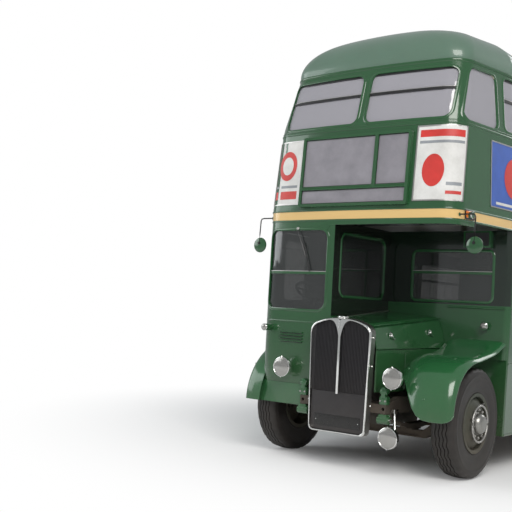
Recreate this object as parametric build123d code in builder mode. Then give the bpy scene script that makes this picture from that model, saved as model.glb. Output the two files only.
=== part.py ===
"""A half-cab, front-engined double decker bus with an open rear platform.

The bus stands on the ground plane z = 0. Its front faces -Y, its nearside (the kerb side, with the
platform) is +X and its offside (the driver's side) is -X. The origin is on the ground under the middle
of the overall box. All sizes are millimetres.
"""
import math
import os
from collections import namedtuple

from build123d import *

os.makedirs("parts", exist_ok=True)

# Overall sizes
LENGTH = 7925
WIDTH = 2286
HEIGHT = 4356
WHEELBASE = 4978
FRONT_OVERHANG = 710
FIT = 0.3  # working gap between pieces that sit against each other
CLEAR = 6  # gap round a piece that moves

Y_FRONT = -LENGTH / 2
Y_REAR = LENGTH / 2
Y_FRONT_AXLE = Y_FRONT + FRONT_OVERHANG
Y_REAR_AXLE = Y_FRONT_AXLE + WHEELBASE

# Heights above the ground
SKIRT_Z = 350
FLOOR_Z = 630
FLOOR_T = 30
WAIST_Z = 1560
BAND_LOW_Z = 2335
BAND_HIGH_Z = 2440
UPPER_FLOOR_Z = 2495
UPPER_FLOOR_T = 45
UPPER_WAIST_Z = 3235
GUTTER_Z = 3850

# Body
WALL = 45
ROOF_T = 35
GLASS_T = 8
GLASS_SET = 14  # how far the glass lies inside the outer face
HALF = WIDTH / 2
BULKHEAD_Y = -2740
REAR_BULKHEAD_Y = 2410
REAR_BULKHEAD_T = 30
CORNER_Y = 3640  # the rear wall's corners start here
UPPER_PILLAR_Y = -2970  # the pillar behind the upper quarter windows
PILLARS_Y = (-1625, -280, 1065, REAR_BULKHEAD_Y)
PILLAR_W = 90

# One plan outline of the body at a height: half widths at the side and at the nose, the middle of the
# nose, where the sides are full width, the middle of the tail, the corner radii and the bow of the nose.
Level = namedtuple("Level", "z half nose_half y_nose y_full y_tail r_nose r_tail bow")

UPPER_LEVELS = (
    Level(BAND_LOW_Z, 1138, 1052, -3842, BULKHEAD_Y, 3960, 200, 330, 42),
    Level(BAND_HIGH_Z, 1140, 1052, -3848, BULKHEAD_Y, 3962.5, 200, 330, 42),
    Level(UPPER_WAIST_Z, 1124, 1030, -3788, BULKHEAD_Y, 3955, 220, 340, 50),
    Level(GUTTER_Z, 1082, 972, -3628, BULKHEAD_Y, 3880, 240, 360, 60),
)
LOWER_FULL_Y = -2300
LOWER_LEVELS = (
    Level(SKIRT_Z, 1116, 1116, BULKHEAD_Y, LOWER_FULL_Y, 3938, 60, 320, 1),
    Level(WAIST_Z, HALF, HALF, BULKHEAD_Y, LOWER_FULL_Y, 3962.5, 60, 330, 1),
    Level(BAND_LOW_Z, 1138, 1138, BULKHEAD_Y, LOWER_FULL_Y, 3960, 60, 330, 1),
)
TAIL_BOW = 40

# Roof: shares of its height, and how far the plan has drawn in there (superellipse of this power)
ROOF_POWER = 2.4
ROOF_SHARES = (0, 0.3, 0.55, 0.75, 0.89, 0.97)
ROOF_TOP_DRAW = 0.16
CROWN_FRONT_Y = -2640
CROWN_REAR_Y = 2880
GUTTER_LIP = 14
GUTTER_H = 26


def plan_outline(level, inset=0.0):
    """Draws one closed plan outline: a bowed nose, round corners, tapered then straight sides, a bowed tail."""
    half, nose_half = level.half - inset, level.nose_half - inset
    r_nose, r_tail = level.r_nose - inset, level.r_tail - inset
    y_nose, y_tail = level.y_nose + inset, level.y_tail - inset
    taper = math.atan2(half - nose_half, level.y_full - y_nose)
    nose_turn = 2 * math.atan(level.bow / nose_half)
    tail_turn = 2 * math.atan(TAIL_BOW / half)
    nose_chord = nose_half - r_nose * math.cos(taper) + r_nose * math.sin(nose_turn)
    tail_chord = half - r_tail + r_tail * math.sin(tail_turn)
    nose_radius = nose_chord / math.sin(nose_turn)
    tail_radius = tail_chord / math.sin(tail_turn)
    nose_centre_y = y_nose + nose_radius
    tail_centre_y = y_tail - tail_radius
    corner = (
        nose_chord - r_nose * math.sin(nose_turn),
        nose_centre_y - (nose_radius - r_nose) * math.cos(nose_turn),
    )
    tail_corner = (half - r_tail, tail_centre_y + (tail_radius - r_tail) * math.cos(tail_turn))
    nose_deg, tail_deg, taper_deg = (math.degrees(a) for a in (nose_turn, tail_turn, taper))
    with BuildLine() as outline:
        CenterArc((0, nose_centre_y), nose_radius, -90, nose_deg)
        front = CenterArc(corner, r_nose, nose_deg - 90, 90 - nose_deg - taper_deg)
        Line(front @ 1, (half, level.y_full))
        Line((half, level.y_full), (half, tail_corner[1]))
        CenterArc(tail_corner, r_tail, 0, 90 - tail_deg)
        CenterArc((0, tail_centre_y), tail_radius, 90 - tail_deg, tail_deg)
        mirror(about=Plane.YZ)
    make_face(outline.edges())


def envelope(levels, inset=0.0, ruled=True):
    """The solid inside the body's outer face, or that much inside it, between its levels."""
    with BuildPart() as solid:
        for level in levels:
            with BuildSketch(Plane.XY.offset(level.z)):
                plan_outline(level, inset)
        loft(ruled=ruled)
    return solid.part


def roof_levels(lip=0.0, drop=0.0):
    """The roof's plan outlines from the gutter up, drawn in towards the crown."""
    base = UPPER_LEVELS[-1]
    rise = HEIGHT - GUTTER_Z - drop
    draws = [(share, (1 - share**ROOF_POWER) ** (1 / ROOF_POWER)) for share in ROOF_SHARES]
    levels = []
    for share, draw in draws + [(1, ROOF_TOP_DRAW)]:
        half = (base.half + lip) * draw
        radius = min(0.72 * half, base.r_nose + 520 * (1 - draw))
        levels.append(
            Level(
                GUTTER_Z + share * rise,
                half,
                half * base.nose_half / base.half,
                CROWN_FRONT_Y + (base.y_nose - lip - CROWN_FRONT_Y) * draw,
                CROWN_FRONT_Y + (base.y_full - CROWN_FRONT_Y) * draw,
                CROWN_REAR_Y + (base.y_tail + lip - CROWN_REAR_Y) * draw,
                radius,
                radius * base.r_tail / base.r_nose if share == 0 else min(radius * 1.2, 0.8 * half),
                base.bow * draw,
            )
        )
    return levels


def block(x0, x1, y0, y1, z0, z1, mode=Mode.ADD):
    """A plain block between two corners, in whichever part is being built."""
    with Locations(((x0 + x1) / 2, (y0 + y1) / 2, (z0 + z1) / 2)):
        return Box(abs(x1 - x0), abs(y1 - y0), abs(z1 - z0), mode=mode)


def rod(start, end, radius, mode=Mode.ADD):
    """A round bar from one point to another, in whichever part is being built."""
    run = Vector(*end) - Vector(*start)
    with BuildSketch(Plane(origin=start, z_dir=run)) as end_face:
        Circle(radius)
    return extrude(end_face.sketch, amount=run.length, mode=mode)


nodes = []


def save(builder, label):
    """Labels a finished piece and writes its file."""
    builder.part.label = label
    export_step(builder.part, f"parts/{label}.step")
    nodes.append(label)


# Windows, each as (from, to, bottom, top, corner radius) along the wall that holds it
Window = namedtuple("Window", "start end low high radius")
UPPER_SILL_Z = 3280
UPPER_HEAD_Z = 3792
LOWER_SILL_Z = 1625
LOWER_HEAD_Z = 2170
WINDOW_R = 62


def bay_windows(first, last_edges, low, high):
    """The windows between one pillar and the next along a side."""
    edges = (first, *last_edges)
    return [
        Window(a + PILLAR_W / 2, b - PILLAR_W / 2, low, high, WINDOW_R) for a, b in zip(edges, edges[1:])
    ]


UPPER_BAYS = bay_windows(UPPER_PILLAR_Y, PILLARS_Y, UPPER_SILL_Z, UPPER_HEAD_Z)
UPPER_REAR_BAY = Window(REAR_BULKHEAD_Y + PILLAR_W / 2, 3480, UPPER_SILL_Z, UPPER_HEAD_Z, 90)
LOWER_BAYS = bay_windows(BULKHEAD_Y + WALL, PILLARS_Y, LOWER_SILL_Z, LOWER_HEAD_Z)
QUARTER_WINDOW = Window(-3640, -3055, 3262, 3780, 70)
QUARTER_LEAN = 182  # how far the window's front edge leans back over its height
FRONT_WINDOW_GAP = 90
FRONT_WINDOWS = (
    Window(-905, -FRONT_WINDOW_GAP / 2, 3278, 3770, 70),
    Window(FRONT_WINDOW_GAP / 2, 905, 3278, 3770, 70),
)
BULKHEAD_WINDOWS = (
    Window(95, 955, 1640, 2125, 45),
    Window(-930, -300, 1640, 2125, 45),
)
WINDSCREEN = Window(-985, -262, 1470, 2245, 85)
CAB_DOOR = Window(-3505, -2880, 1200, 2262, 90)
CAB_DOOR_WINDOW = Window(-3435, -2950, 1560, 2190, 70)
CAB_SIDE_WINDOW = Window(-3700, -2860, 1625, 2215, 75)
LOWER_REAR_WINDOW = Window(60, 900, 1450, 2130, 80)
EMERGENCY_DOOR = Window(-655, 655, 3100, 3800, 90)
EMERGENCY_PANES = (Window(-600, -30, 3170, 3740, 70), Window(30, 600, 3170, 3740, 70))


def cut_windows(plane, depth, windows, mode=Mode.SUBTRACT, inset=0.0):
    """Cuts windows through a wall from a plane, or keeps only what lies in them."""
    with BuildSketch(plane) as openings:
        for w in windows:
            with Locations(((w.start + w.end) / 2, (w.low + w.high) / 2)):
                RectangleRounded(w.end - w.start - 2 * inset, w.high - w.low - 2 * inset, w.radius - inset)
    extrude(openings.sketch, amount=depth, mode=mode)


def cut_quarter(plane, mode=Mode.SUBTRACT, inset=0.0):
    """Cuts the corner window, whose front edge leans back as the nose does, or keeps only what lies in it."""
    w = QUARTER_WINDOW
    with BuildSketch(plane) as opening:
        with BuildLine() as edge:
            Polyline(
                (w.start + inset, w.low + inset),
                (w.end - inset, w.low + inset),
                (w.end - inset, w.high - inset),
                (w.start + QUARTER_LEAN + inset, w.high - inset),
                close=True,
            )
        make_face(edge.edges())
        fillet(opening.vertices(), w.radius - inset)
    extrude(opening.sketch, amount=SIDE_DEPTH, mode=mode)


SIDE_DEPTH = 420
NEAR_SIDE = Plane.YZ.offset(HALF + 80 - SIDE_DEPTH)
OFF_SIDE = Plane.YZ.offset(-HALF - 80)
FRONT_WALL = Plane(origin=(0, Y_FRONT - 50, 0), x_dir=(1, 0, 0), z_dir=(0, -1, 0))
FRONT_DEPTH = -700
REAR_WALL = Plane(origin=(0, Y_REAR + 50, 0), x_dir=(1, 0, 0), z_dir=(0, -1, 0))
REAR_DEPTH = 450

upper_outer = envelope(UPPER_LEVELS)
upper_inner = envelope(UPPER_LEVELS, WALL)
lower_outer = envelope(LOWER_LEVELS)
lower_inner = envelope(LOWER_LEVELS, WALL)


def upper_ring(y0, y1, x0, x1):
    """The part of the upper deck's wall inside a plan rectangle, in the part being built."""
    add(upper_outer)
    add(upper_inner, mode=Mode.SUBTRACT)
    block(x0, x1, y0, y1, BAND_LOW_Z - 10, GUTTER_Z + 10, mode=Mode.INTERSECT)


def lower_ring(y0, y1, x0, x1, z0=SKIRT_Z - 10):
    """The part of the lower deck's wall inside a plan rectangle, in the part being built."""
    add(lower_outer)
    add(lower_inner, mode=Mode.SUBTRACT)
    block(x0, x1, y0, y1, z0, BAND_LOW_Z + 10, mode=Mode.INTERSECT)


OUT = HALF + 200  # clear of the body on either side

# Destination boxes on the front panel: left, right, bottom, top
BOX_LEFT, BOX_RIGHT = -612, 585
BOX_LOW_Z, BOX_HIGH_Z = 2470, 3170
BOX_FRAME = 26
BOX_SPLIT_X = 222
STRIP_TOP_Z = 2650
BOX_OUT = 16  # how far the box frame stands out of the panel
BOX_IN = 70
BOX_Y = -3858  # the frame's front face at the foot
BOX_LEAN = math.degrees(math.atan2(3848 - 3788, UPPER_WAIST_Z - BAND_HIGH_Z))
BOX_PANES = (
    (BOX_LEFT + BOX_FRAME, BOX_RIGHT - BOX_FRAME, BOX_LOW_Z + BOX_FRAME, STRIP_TOP_Z - BOX_FRAME / 2),
    (BOX_LEFT + BOX_FRAME, BOX_SPLIT_X - BOX_FRAME / 2, STRIP_TOP_Z + BOX_FRAME / 2, BOX_HIGH_Z - BOX_FRAME),
    (BOX_SPLIT_X + BOX_FRAME / 2, BOX_RIGHT - BOX_FRAME, STRIP_TOP_Z + BOX_FRAME / 2, BOX_HIGH_Z - BOX_FRAME),
)
box_plane = Plane(
    origin=(0, BOX_Y - BOX_OUT, BAND_HIGH_Z),
    x_dir=(1, 0, 0),
    z_dir=(0, -math.cos(math.radians(BOX_LEAN)), math.sin(math.radians(BOX_LEAN))),
)


def box_pane_rectangles(inset=0.0):
    """The three glazed openings of the destination box, drawn on its sloping face."""
    for x0, x1, z0, z1 in BOX_PANES:
        with Locations(((x0 + x1) / 2, (z0 + z1) / 2 - BAND_HIGH_Z)):
            RectangleRounded(x1 - x0 - 2 * inset, z1 - z0 - 2 * inset, 16 - inset)


def box_outline(inset=0.0):
    """The outside of the destination box, drawn on its sloping face."""
    with Locations(((BOX_LEFT + BOX_RIGHT) / 2, (BOX_LOW_Z + BOX_HIGH_Z) / 2 - BAND_HIGH_Z)):
        RectangleRounded(BOX_RIGHT - BOX_LEFT - 2 * inset, BOX_HIGH_Z - BOX_LOW_Z - 2 * inset, 24 - inset)


# Upper deck walls
with BuildPart() as upper_front:
    upper_ring(Y_FRONT - 100, UPPER_PILLAR_Y, -OUT, OUT)
    cut_windows(FRONT_WALL, FRONT_DEPTH, FRONT_WINDOWS)
    cut_quarter(NEAR_SIDE)
    cut_quarter(OFF_SIDE)
    with BuildSketch(box_plane):
        box_outline()
    extrude(amount=-BOX_IN - BOX_OUT - WALL, mode=Mode.SUBTRACT)
save(upper_front, "upper_front_wall")

with BuildPart() as upper_near:
    upper_ring(UPPER_PILLAR_Y + FIT, CORNER_Y, 0, OUT)
    cut_windows(NEAR_SIDE, SIDE_DEPTH, UPPER_BAYS + [UPPER_REAR_BAY])

with BuildPart() as upper_off:
    upper_ring(UPPER_PILLAR_Y + FIT, CORNER_Y, -OUT, 0)
    cut_windows(OFF_SIDE, SIDE_DEPTH, UPPER_BAYS + [UPPER_REAR_BAY])

with BuildPart() as upper_sides:
    add(upper_near.part)
    add(upper_off.part)
save(upper_sides, "upper_side_walls")

EMERGENCY_HINGE = (3961, EMERGENCY_DOOR.low + 4)  # y and z of the door's hinge pins
EMERGENCY_BARRELS_X = (-420, 420)
BARREL_SPAN = 50
with BuildPart() as upper_rear:
    upper_ring(CORNER_Y + FIT, Y_REAR + 100, -OUT, OUT)
    cut_windows(REAR_WALL, REAR_DEPTH, [EMERGENCY_DOOR])
    for x in EMERGENCY_BARRELS_X:
        for shift in (-BARREL_SPAN, BARREL_SPAN):
            x0, x1 = x + shift - BARREL_SPAN / 2 + FIT, x + shift + BARREL_SPAN / 2 - FIT
            rod((x0, *EMERGENCY_HINGE), (x1, *EMERGENCY_HINGE), 9)
            block(x0, x1, EMERGENCY_HINGE[0] - 40, EMERGENCY_HINGE[0] + 3, EMERGENCY_HINGE[1] - 40, EMERGENCY_HINGE[1])
save(upper_rear, "upper_rear_wall")

with BuildPart() as emergency_door:
    upper_ring(CORNER_Y + FIT, Y_REAR + 100, -OUT, OUT)
    cut_windows(REAR_WALL, REAR_DEPTH, [EMERGENCY_DOOR], Mode.INTERSECT, CLEAR)
    cut_windows(REAR_WALL, REAR_DEPTH, EMERGENCY_PANES)
    for x in EMERGENCY_BARRELS_X:
        x0, x1 = x - BARREL_SPAN / 2 + FIT, x + BARREL_SPAN / 2 - FIT
        rod((x0, *EMERGENCY_HINGE), (x1, *EMERGENCY_HINGE), 9)
        block(x0, x1, EMERGENCY_HINGE[0] - 40, EMERGENCY_HINGE[0] + 3, EMERGENCY_HINGE[1], EMERGENCY_HINGE[1] + 40)
save(emergency_door, "emergency_door")

# Roof: a domed shell with a gutter lip round its foot
roof_outer = envelope(roof_levels(), ruled=False)
roof_inner = envelope(roof_levels(drop=ROOF_T), ROOF_T, ruled=False)
with BuildPart() as roof:
    add(roof_outer)
    add(roof_inner, mode=Mode.SUBTRACT)
save(roof, "roof")

# Upper floor, with the well for the stairs at the rear offside
STAIR_IN_X = -410  # the open side of the stairs
STAIR_TOP_Y = REAR_BULKHEAD_Y + REAR_BULKHEAD_T
STAIR_WELL_REAR_Y = 3700
UPPER_FLOOR_LOW_Z = 2400

with BuildPart() as upper_floor:
    add(envelope(UPPER_LEVELS, WALL + FIT))
    block(-OUT, OUT, Y_FRONT - 100, Y_REAR + 100, UPPER_FLOOR_LOW_Z, UPPER_FLOOR_Z, Mode.INTERSECT)
    block(-OUT, STAIR_IN_X, STAIR_TOP_Y, STAIR_WELL_REAR_Y, BAND_LOW_Z, UPPER_FLOOR_Z + 10, Mode.SUBTRACT)
    with BuildSketch(box_plane):
        box_outline(-FIT)
    extrude(amount=-BOX_IN - BOX_OUT - WALL, mode=Mode.SUBTRACT)
save(upper_floor, "upper_floor")

# Tyres and the arches they turn in
TYRE_R = 509
TYRE_W = 238
TYRE_FRONT_X = 972
TYRE_REAR_X = (690, 975)
ARCH_R = 585
ARCH_TOP_Z = TYRE_R + ARCH_R


def arch_cut(y, x0, x1):
    """Cuts a wheel arch, open below, across the sides of the part being built."""
    with BuildSketch(Plane.YZ.offset(x0)) as arch:
        with Locations((y, TYRE_R)):
            Circle(ARCH_R)
        with Locations((y, 0)):
            Rectangle(2 * ARCH_R, 2 * TYRE_R)
    extrude(arch.sketch, amount=x1 - x0, mode=Mode.SUBTRACT)


# Lower saloon walls
LOWER_SIDE_FRONT_Y = BULKHEAD_Y + WALL + FIT
with BuildPart() as lower_near:
    lower_ring(LOWER_SIDE_FRONT_Y, REAR_BULKHEAD_Y, 0, OUT)
    cut_windows(NEAR_SIDE, SIDE_DEPTH, LOWER_BAYS)
    arch_cut(Y_REAR_AXLE, 0, OUT)

with BuildPart() as lower_off:
    lower_ring(LOWER_SIDE_FRONT_Y, CORNER_Y, -OUT, 0)
    cut_windows(OFF_SIDE, SIDE_DEPTH, LOWER_BAYS)
    arch_cut(Y_REAR_AXLE, -OUT, 0)

with BuildPart() as lower_walls:
    add(lower_near.part)
    add(lower_off.part)
    lower_walls.part.label = "lower_side_walls"
save(lower_walls, "lower_side_walls")

# Rear wall, with the panel that runs forwards over the platform's entrance
ENTRANCE_HEAD_Z = 2230
with BuildPart() as lower_rear:
    lower_ring(CORNER_Y + FIT, Y_REAR + 100, -OUT, OUT)
    with BuildPart(mode=Mode.PRIVATE) as entrance_head:
        lower_ring(REAR_BULKHEAD_Y + FIT, CORNER_Y + 10, 0, OUT, ENTRANCE_HEAD_Z)
    add(entrance_head.part)
    cut_windows(REAR_WALL, REAR_DEPTH, [LOWER_REAR_WINDOW])
save(lower_rear, "lower_rear_wall")

FRAME_HIGH_Z = 700

# Front bulkhead, thinned where the front tyres swing behind it
SPLASH_T = 14
WHEEL_SPACE_IN_X = 640
with BuildPart() as front_bulkhead:
    add(lower_outer)
    block(-OUT, OUT, BULKHEAD_Y - 10, BULKHEAD_Y + WALL, SKIRT_Z, UPPER_FLOOR_LOW_Z - FIT, Mode.INTERSECT)
    cut_windows(FRONT_WALL, -1400, BULKHEAD_WINDOWS)
    for side in (-1, 1):
        block(
            side * WHEEL_SPACE_IN_X, side * OUT, BULKHEAD_Y - 20, BULKHEAD_Y + WALL - SPLASH_T, 0, 1080, Mode.SUBTRACT
        )
    block(-WHEEL_SPACE_IN_X, WHEEL_SPACE_IN_X, BULKHEAD_Y - 20, BULKHEAD_Y + 60, 0, FRAME_HIGH_Z + 6, Mode.SUBTRACT)
save(front_bulkhead, "front_bulkhead")

# Rear bulkhead, between the saloon and the platform
DOORWAY_HALF = 330
DOORWAY_HEAD_Z = 2230
with BuildPart() as rear_bulkhead:
    add(envelope(LOWER_LEVELS, WALL + FIT))
    block(
        -OUT, OUT, REAR_BULKHEAD_Y, REAR_BULKHEAD_Y + REAR_BULKHEAD_T, SKIRT_Z, BAND_LOW_Z, Mode.INTERSECT
    )
    block(-DOORWAY_HALF, DOORWAY_HALF, 2000, 3000, FLOOR_Z, DOORWAY_HEAD_Z, Mode.SUBTRACT)
    block(450, 960, 2000, 3000, 1400, DOORWAY_HEAD_Z, Mode.SUBTRACT)
    block(-HALF + 52, HALF - 52, REAR_BULKHEAD_Y, STAIR_TOP_Y, BAND_LOW_Z - 1, UPPER_FLOOR_LOW_Z - FIT)
save(rear_bulkhead, "rear_bulkhead")

# Lower saloon floor with boxes over the rear wheels
WHEEL_BOX_IN_X = 392
WHEEL_BOX_HALF = 610
WHEEL_BOX_TOP_Z = 1110
PANEL_T = 20
with BuildPart() as lower_floor:
    block(-OUT, OUT, LOWER_SIDE_FRONT_Y, REAR_BULKHEAD_Y - FIT, FLOOR_Z - FLOOR_T, FLOOR_Z)
    for side in (-1, 1):
        y0, y1 = Y_REAR_AXLE - WHEEL_BOX_HALF, Y_REAR_AXLE + WHEEL_BOX_HALF
        x = side * WHEEL_BOX_IN_X
        block(x, side * OUT, y0, y1, FLOOR_Z - FLOOR_T, WHEEL_BOX_TOP_Z)
        x = side * (WHEEL_BOX_IN_X + PANEL_T)
        block(x, side * OUT, y0 + PANEL_T, y1 - PANEL_T, 0, WHEEL_BOX_TOP_Z - PANEL_T, Mode.SUBTRACT)
    add(envelope(LOWER_LEVELS, WALL + FIT), mode=Mode.INTERSECT)
save(lower_floor, "lower_floor")

# Platform
PLATFORM_T = 45
PLATFORM_TOP_Z = SKIRT_Z - FIT
with BuildPart() as platform:
    with BuildSketch(Plane.XY.offset(PLATFORM_TOP_Z)):
        plan_outline(LOWER_LEVELS[0])
    extrude(amount=-PLATFORM_T)
    block(-OUT, OUT, REAR_BULKHEAD_Y + FIT, Y_REAR + 100, 0, SKIRT_Z, Mode.INTERSECT)
save(platform, "platform")

# Stairs: three steps across the rear, then a straight flight forwards along the offside
RISERS = 9
RISE = (UPPER_FLOOR_Z - PLATFORM_TOP_Z) / RISERS
TREAD_T = 28
RISER_T = 16
STAIR_OUT_X = -(HALF - WALL - 12)
FLIGHT_FOOT_Y = 3560
FLIGHT_STEPS = 5
GOING = (FLIGHT_FOOT_Y - STAIR_TOP_Y) / FLIGHT_STEPS
STAIR_REAR_Y = 3800
with BuildPart() as stairs:
    lap = TREAD_T / 2
    for i, x1 in enumerate((60, -175), start=1):
        z = PLATFORM_TOP_Z + i * RISE
        block(STAIR_IN_X - RISER_T, x1, 3230, STAIR_REAR_Y, z - TREAD_T, z)
        foot_z = PLATFORM_TOP_Z + FIT if i == 1 else z - RISE - lap
        block(x1 - RISER_T - 6, x1 - 6, 3230, STAIR_REAR_Y, foot_z, z - lap)
    landing_z = PLATFORM_TOP_Z + 3 * RISE
    block(-830, STAIR_IN_X, 3400, STAIR_REAR_Y, landing_z - TREAD_T, landing_z)
    block(STAIR_OUT_X, STAIR_IN_X, 3230, FLIGHT_FOOT_Y + 5, landing_z - TREAD_T, landing_z)
    block(STAIR_IN_X - RISER_T - 6, STAIR_IN_X - 6, 3230, STAIR_REAR_Y, landing_z - RISE - lap, landing_z - lap)
    for i in range(FLIGHT_STEPS):
        z = landing_z + (i + 1) * RISE
        y_foot = FLIGHT_FOOT_Y - i * GOING
        y_back = max(y_foot - GOING - RISER_T / 2, STAIR_TOP_Y + FIT)
        block(STAIR_OUT_X, STAIR_IN_X, y_back, y_foot + 10, z - TREAD_T, z)
        block(STAIR_OUT_X, STAIR_IN_X, y_foot - RISER_T, y_foot, z - RISE - lap, z - lap)
    with BuildSketch(Plane.YZ.offset(STAIR_IN_X - 2)):
        with BuildLine():
            Polyline(
                (3200, PLATFORM_TOP_Z + 2 * RISE + 40),
                (3200, PLATFORM_TOP_Z + FIT),
                (STAIR_TOP_Y + FIT, PLATFORM_TOP_Z + FIT),
                (STAIR_TOP_Y + FIT, UPPER_FLOOR_LOW_Z - 3),
                (STAIR_TOP_Y + 300, UPPER_FLOOR_LOW_Z - 3),
                (3545, 1900),
                (3545, 1120),
                (3225, 1120),
                close=True,
            )
        make_face()
    extrude(amount=18)
save(stairs, "staircase")

# Cab: the plan of the deck above, carried down, with an inner wall beside the bonnet
CAB_WALL = 36
CAB_LOW_Z = 740
CAB_IN_X = -180
CAB_FLOOR_Z = 1065
CAB_LEVELS = (
    Level(CAB_LOW_Z, 1143, 1062, -3842, BULKHEAD_Y, 3960, 200, 330, 42),
    Level(WAIST_Z, 1143, 1062, -3842, BULKHEAD_Y, 3960, 200, 330, 42),
    Level(BAND_LOW_Z - FIT, 1138, 1052, -3842, BULKHEAD_Y, 3960, 200, 330, 42),
)
cab_outer = envelope(CAB_LEVELS)
cab_inner = envelope(CAB_LEVELS, CAB_WALL)
CAB_REAR_Y = BULKHEAD_Y - FIT
DOOR_HINGE = (-1141, CAB_DOOR.end - 4)  # x and y of the cab door's hinge pins
DOOR_BARRELS_Z = (1330, 2080)
BARREL_L = 44
BARREL_R = 9
CAB_CUT_R = 560
with BuildPart() as cab:
    add(cab_outer)
    add(cab_inner, mode=Mode.SUBTRACT)
    block(-OUT, CAB_IN_X, Y_FRONT - 100, CAB_REAR_Y, CAB_LOW_Z - 10, BAND_LOW_Z + 10, Mode.INTERSECT)
    with BuildPart(mode=Mode.PRIVATE) as cab_filling:
        add(envelope(CAB_LEVELS, CAB_WALL - 1))
        block(CAB_IN_X - CAB_WALL, CAB_IN_X, Y_FRONT, CAB_REAR_Y, 880, BAND_LOW_Z - FIT, Mode.INTERSECT)
    add(cab_filling.part)
    with BuildPart(mode=Mode.PRIVATE) as cab_floor:
        add(envelope(CAB_LEVELS, CAB_WALL - 1))
        block(-OUT, CAB_IN_X, Y_FRONT, CAB_REAR_Y, CAB_FLOOR_Z - 22, CAB_FLOOR_Z, Mode.INTERSECT)
    add(cab_floor.part)
    cut_windows(FRONT_WALL, -280, [WINDSCREEN])
    cut_windows(Plane.YZ.offset(CAB_IN_X - 60), 120, [CAB_SIDE_WINDOW])
    cut_windows(Plane.YZ.offset(-HALF - 80), 240, [CAB_DOOR])
    with BuildSketch(Plane.YZ.offset(-OUT)) as cab_arch:
        with Locations((Y_FRONT_AXLE, TYRE_R)):
            Circle(CAB_CUT_R)
        with Locations((Y_FRONT_AXLE, 0)):
            Rectangle(2 * CAB_CUT_R, 2 * TYRE_R)
    extrude(cab_arch.sketch, amount=OUT + CAB_IN_X - 100, mode=Mode.SUBTRACT)
    for z in DOOR_BARRELS_Z:
        for lift in (-BARREL_L, BARREL_L):
            rod((*DOOR_HINGE, z + lift - BARREL_L / 2 + FIT), (*DOOR_HINGE, z + lift + BARREL_L / 2 - FIT), BARREL_R)
            block(
                DOOR_HINGE[0] - 2, DOOR_HINGE[0] + 20, DOOR_HINGE[1], DOOR_HINGE[1] + 45,
                z + lift - BARREL_L / 2 + FIT, z + lift + BARREL_L / 2 - FIT,
            )
save(cab, "cab_shell")

with BuildPart() as cab_door:
    cut_windows(Plane.YZ.offset(-HALF - 80), 300, [CAB_DOOR], Mode.ADD, CLEAR)
    add(cab_outer, mode=Mode.INTERSECT)
    add(cab_inner, mode=Mode.SUBTRACT)
    cut_windows(Plane.YZ.offset(-HALF - 80), 300, [CAB_DOOR_WINDOW])
    for z in DOOR_BARRELS_Z:
        rod((*DOOR_HINGE, z - BARREL_L / 2 + FIT), (*DOOR_HINGE, z + BARREL_L / 2 - FIT), BARREL_R)
        block(
            DOOR_HINGE[0] - 2, DOOR_HINGE[0] + 20, DOOR_HINGE[1] - 45, DOOR_HINGE[1],
            z - BARREL_L / 2 + FIT, z + BARREL_L / 2 - FIT,
        )
save(cab_door, "cab_door")

# Glass, set in each window a little inside the outer face
GLASS_EDGE = 0.5  # gap between a pane and the opening it sits in
upper_glass_skin = envelope(UPPER_LEVELS, GLASS_SET) - envelope(UPPER_LEVELS, GLASS_SET + GLASS_T)
lower_glass_skin = envelope(LOWER_LEVELS, GLASS_SET) - envelope(LOWER_LEVELS, GLASS_SET + GLASS_T)
cab_glass_skin = envelope(CAB_LEVELS, GLASS_SET) - envelope(CAB_LEVELS, GLASS_SET + GLASS_T)


def panes(skin, plane, depth, windows, x0=-OUT, x1=OUT, y0=-5000, y1=5000):
    """The glass of some windows, cut from a skin that follows the wall."""
    with BuildPart() as glass:
        add(skin)
        block(x0, x1, y0, y1, SKIRT_Z, GUTTER_Z, Mode.INTERSECT)
        cut_windows(plane, depth, windows, Mode.INTERSECT, GLASS_EDGE)
    return glass.part


with BuildPart() as upper_glass:
    add(panes(upper_glass_skin, FRONT_WALL, FRONT_DEPTH, FRONT_WINDOWS, y1=-3300))
    for side, plane in ((1, NEAR_SIDE), (-1, OFF_SIDE)):
        add(panes(upper_glass_skin, plane, SIDE_DEPTH, UPPER_BAYS + [UPPER_REAR_BAY], min(0, side * OUT), max(0, side * OUT), -2960, 3600))
        with BuildPart(mode=Mode.PRIVATE) as corner_glass:
            add(upper_glass_skin)
            block(side * 915, side * OUT, -3700, -3000, 3000, GUTTER_Z, Mode.INTERSECT)
            cut_quarter(plane, Mode.INTERSECT, GLASS_EDGE)
        add(corner_glass.part)
save(upper_glass, "upper_glass")

with BuildPart() as lower_glass:
    add(panes(lower_glass_skin, NEAR_SIDE, SIDE_DEPTH, LOWER_BAYS, 0, OUT))
    add(panes(lower_glass_skin, OFF_SIDE, SIDE_DEPTH, LOWER_BAYS, -OUT, 0))
    add(panes(lower_glass_skin, REAR_WALL, REAR_DEPTH, [LOWER_REAR_WINDOW], y0=3500))
    add(panes(cab_glass_skin, FRONT_WALL, -280, [WINDSCREEN], y1=-3600))
    for w in BULKHEAD_WINDOWS:
        with BuildSketch(Plane(origin=(0, BULKHEAD_Y + GLASS_SET, 0), x_dir=(1, 0, 0), z_dir=(0, -1, 0))):
            with Locations(((w.start + w.end) / 2, (w.low + w.high) / 2)):
                RectangleRounded(w.end - w.start - 1, w.high - w.low - 1, w.radius - 0.5)
        extrude(amount=-GLASS_T)
    with BuildSketch(Plane.YZ.offset(CAB_IN_X - 22)):
        w = CAB_SIDE_WINDOW
        with Locations(((w.start + w.end) / 2, (w.low + w.high) / 2)):
            RectangleRounded(w.end - w.start - 1, w.high - w.low - 1, w.radius - 0.5)
    extrude(amount=GLASS_T)
save(lower_glass, "lower_glass")

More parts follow.
